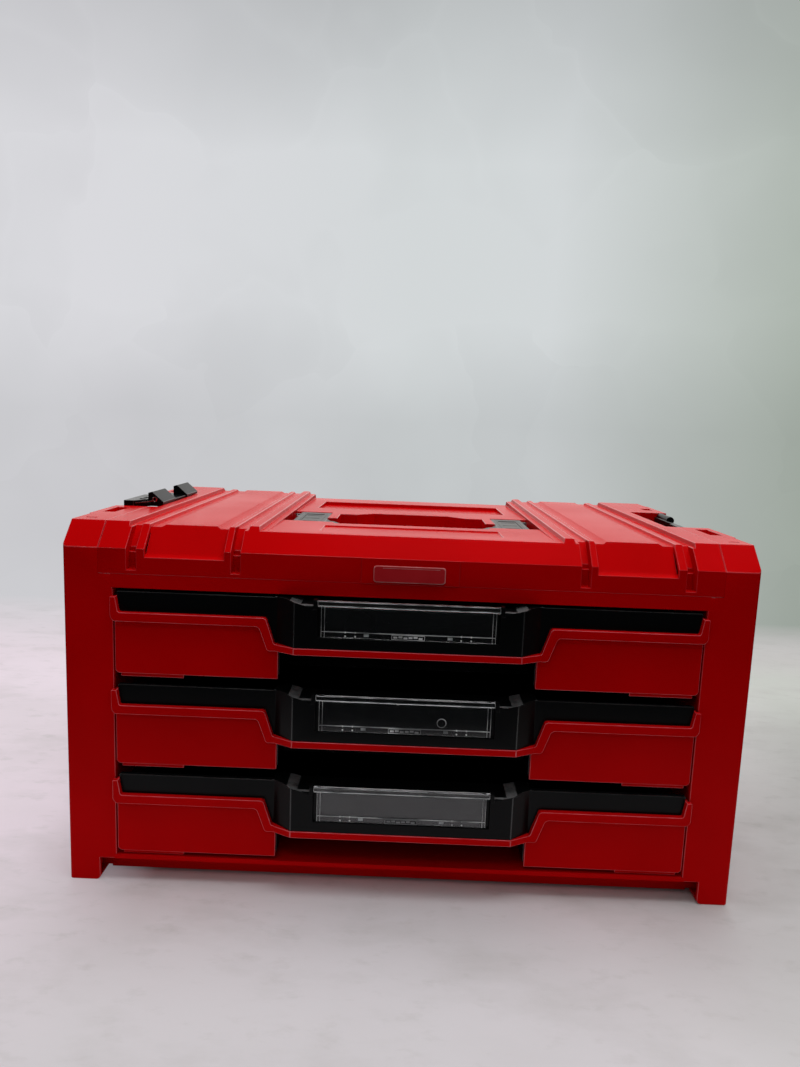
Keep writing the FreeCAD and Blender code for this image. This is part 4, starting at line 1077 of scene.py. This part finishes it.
# middle members of the slides, with their rows of balls in cages

slide = {
    "web": 190.7,
    "edge": 182.9,
    "sheet": 1.2,
    "half": 14.6,
    "axisUp": 25.0,
    "y": (-128.4, 117.6),
    "rounding": 0.45,
    "ballRadius": 0.92,
    "ballGap": 9.0,
    "rowX": 186.8,
    "rowEnd": 3.0,  # from the end of a cage to its first ball
    "cageHalf": 1.7,
    "cageThick": 0.5,
    "cageEnds": (20.0, 60.0, 50.0),  # how far the cages stay from the ends: outer front and rear, inner front
}


def addBall(bm, place, radius):
    made = bmesh.ops.create_icosphere(bm, subdivisions=2, radius=radius * mm)
    bmesh.ops.translate(bm, verts=made["verts"], vec=Vector(place) * mm)


def makeMiddleMember(drawer, side):
    axis = drawerBase[drawer] + slide["axisUp"]
    turn = 1 if side == "right" else -1
    sheet, half, ball = slide["sheet"], slide["half"], slide["ballRadius"]
    web, edge = slide["web"], slide["edge"]
    section = [
        (web, -half), (edge, -half), (edge, -half + sheet), (web - sheet, -half + sheet),
        (web - sheet, half - sheet), (edge, half - sheet), (edge, half), (web, half),
    ]
    bm = bmesh.new()
    addPrism(bm, *([(turn * x, y, axis + z) for x, z in section] for y in slide["y"]))
    orient(bm)
    roundEdges(bm, slide["rounding"], 3, rimIndex=0)
    front, rear, inner = slide["cageEnds"]
    y = slide["y"]
    rows = [(half + ball, y[0] + front, y[1] - rear), (half - sheet - ball, y[0] + inner, y[1] - front)]
    x = turn * slide["rowX"]
    across = sorted((x - slide["cageHalf"], x + slide["cageHalf"]))
    for up, start, end in rows:
        for z in (axis - up, axis + up):
            addBlock(bm, across, (start, end), (z - slide["cageThick"] / 2, z + slide["cageThick"] / 2))
            count = int((end - start - 2 * slide["rowEnd"]) / slide["ballGap"])
            for i in range(count + 1):
                addBall(bm, (x, start + slide["rowEnd"] + i * slide["ballGap"], z), ball)
    orient(bm)
    name = f"{drawer}MiddleSlide{side.capitalize()}"
    showPiece(bm, name, "zinc_steel", drawer + "_slide_middle", (f"{drawer}_middle_rail_{side}",))


for drawer in drawerNames:
    for side in sides:
        makeMiddleMember(drawer, side)
print("slides ready")


# handle pads, latch wires and name plate

pads = {
    "x": (69.3, 86.7),
    "y": (-56.2, -5.8),
    "floor": 241.75,
    "frame": 1.5,
    "frameTop": 242.4,
    "ribs": 3,
    "ribWidth": 0.9,
    "ribHeight": 0.35,
    "ribInset": (3.0, 9.0),  # from the pad's sides and from its ends
    "edge": 0.25,
}
shoulder = {
    "steps": ((55.0, 236.2, 240.6), (59.0, 237.5, 241.9), (66.4, 238.5, 242.5)),  # x, lower and upper side
    "y": (-61.2, -46.0),
    "edge": 0.3,
}


def makePad(side):
    turn = 1 if side == "right" else -1
    low, high = sorted(turn * x for x in pads["x"])
    front, rear = pads["y"]
    floor, frame = pads["floor"], pads["frame"]
    bm = bmesh.new()
    addBlock(bm, (low, high), (front, rear), (floor - 0.2, floor + 0.15))
    borders = [((low, high), (front, front + frame)), ((low, high), (rear - frame, rear))]
    borders += [(x, (front + frame, rear - frame)) for x in ((low, low + frame), (high - frame, high))]
    for x, y in borders:
        addBlock(bm, x, y, (floor, pads["frameTop"]))
    aside, ahead = pads["ribInset"]
    for i in range(pads["ribs"]):
        at = front + ahead + i * (rear - front - 2 * ahead) / (pads["ribs"] - 1)
        along = (at - pads["ribWidth"] / 2, at + pads["ribWidth"] / 2)
        addBlock(bm, (low + aside, high - aside), along, (floor, floor + pads["ribHeight"]))
    roundEdges(bm, pads["edge"])
    showPiece(bm, "padGrip" + side.capitalize(), "grey_plastic", "handle")


def makeShoulder(side):
    # the grip rises to its pads at both ends
    turn = 1 if side == "right" else -1
    front, rear = shoulder["y"]
    bm = bmesh.new()
    rings = addRings(bm, [
        [(turn * x, front, low), (turn * x, rear, low), (turn * x, rear, high), (turn * x, front, high)]
        for x, low, high in shoulder["steps"]
    ])
    for first, second in zip(rings, rings[1:]):
        bridge(bm, first, second)
    bm.faces.new(rings[0][::-1])
    bm.faces.new(rings[-1])
    orient(bm)
    roundEdges(bm, shoulder["edge"])
    showPiece(bm, "gripShoulder" + side.capitalize(), "grey_plastic", "handle")


latchWire = {
    "pin": (222.0, 244.5),  # x and z the latch turns about
    "path": ((214.6, -44.4, 250.1), (208.0, -37.2, 250.4), (203.2, -32.0, 251.2)),  # of a folded right latch
    "radius": 0.5,
    "hub": (202.6, -30.9, 252.0),
    "hubProfile": ((1.0, 0), (2.0, 0), (2.0, 0.5), (1.7, 0.75), (1.2, 0.75), (1.0, 0.5)),
}


def makeLatchWire(side):
    # spring wire along the tapered end, hooked round a hub on the first block
    bm = bmesh.new()
    path = [Vector(point) for point in latchWire["path"]]
    radius = latchWire["radius"]
    for start, end in zip(path, path[1:]):
        length = (end - start).length
        profile = [(0, -0.3), (radius, -0.1), (radius, length + 0.1), (0, length + 0.3)]
        addLathe(bm, profile, start, end - start, 10)
    addLathe(bm, latchWire["hubProfile"], latchWire["hub"], (0, -1, 0), closed=True)
    if side == "left":
        bmesh.ops.scale(bm, vec=(-1, 1, 1), verts=bm.verts[:])
    else:
        x, z = latchWire["pin"]
        hang = Matrix.Rotation(math.radians(-90), 3, "Y")
        bmesh.ops.rotate(bm, cent=Vector((x, 0, z)) * mm, matrix=hang, verts=bm.verts[:])
    orient(bm)
    showPiece(bm, "latchWire" + side.capitalize(), "steel", side + "_latch")


for side in sides:
    makePad(side)
    makeShoulder(side)
for side in sides:
    makeLatchWire(side)

plate = {
    "half": 23.4,
    "centre": -0.6,
    "low": 216.4,
    "high": 227.6,
    "face": -145.9,
    "back": -144.8,
    "round": 2.0,
    "cornerSteps": 6,
    "dome": ((0.0, 0.55), (0.12, 0.3), (0.4, 0.1), (0.8, 0.0)),  # inset of the outline, depth behind the face
    "rims": (0.0, 0.3, 1.4, 0.6),  # painted highlight on each strip of the dome
    "ridge": ((-18.0, 19.0), (-1.75, -1.4)),  # x, and z from the upper edge
    "ridgeRim": 1.2,
}


def plateOutline(middle):
    half, corner, steps = plate["half"], plate["round"], plate["cornerSteps"]
    x, z = half - corner, (plate["high"] - plate["low"]) / 2 - corner
    outline = []
    for quarter, (sx, sz) in enumerate(((1, 1), (-1, 1), (-1, -1), (1, -1))):
        for step in range(steps + 1):
            turn = math.pi / 2 * (quarter + step / steps)
            outline.append((sx * x + corner * math.cos(turn), middle + sz * z + corner * math.sin(turn)))
    return outline


def makeNamePlate():
    face, centre, middle = plate["face"], plate["centre"], (plate["high"] + plate["low"]) / 2
    outline = plateOutline(middle)
    rings = []
    for inset, y in [(0.0, plate["back"])] + [(inset, face + behind) for inset, behind in plate["dome"]]:
        shrinkX, shrinkZ = 1 - inset / plate["half"], 1 - inset / (plate["high"] - middle)
        rings.append([(x * shrinkX + centre, y, middle + (z - middle) * shrinkZ) for x, z in outline])
    bm = bmesh.new()
    rings = addRings(bm, rings)
    rim = bm.faces.layers.float.new("rim")
    for first, second, shine in zip(rings, rings[1:], plate["rims"]):
        for strip in bridge(bm, first, second):
            strip[rim] = shine
    bm.faces.new(rings[-1])
    bm.faces.new(rings[0][::-1])
    # a fine ridge along the upper edge, painted lighter as the highlight where the dome catches the light
    ridgeX, ridgeZ = plate["ridge"]
    addBlock(bm, ridgeX, (face - 0.05, face + 0.1), [plate["high"] + z for z in ridgeZ])
    orient(bm)
    for panel in bm.faces:
        if len(panel.verts) == 4 and panel.calc_center_median().y < (face - 0.01) * mm:
            panel[rim] = plate["ridgeRim"]
    showPiece(bm, "barePlate", "clear_plate", "case", ("name_plate",))


makeNamePlate()
print("pads, latch wires and plate ready")
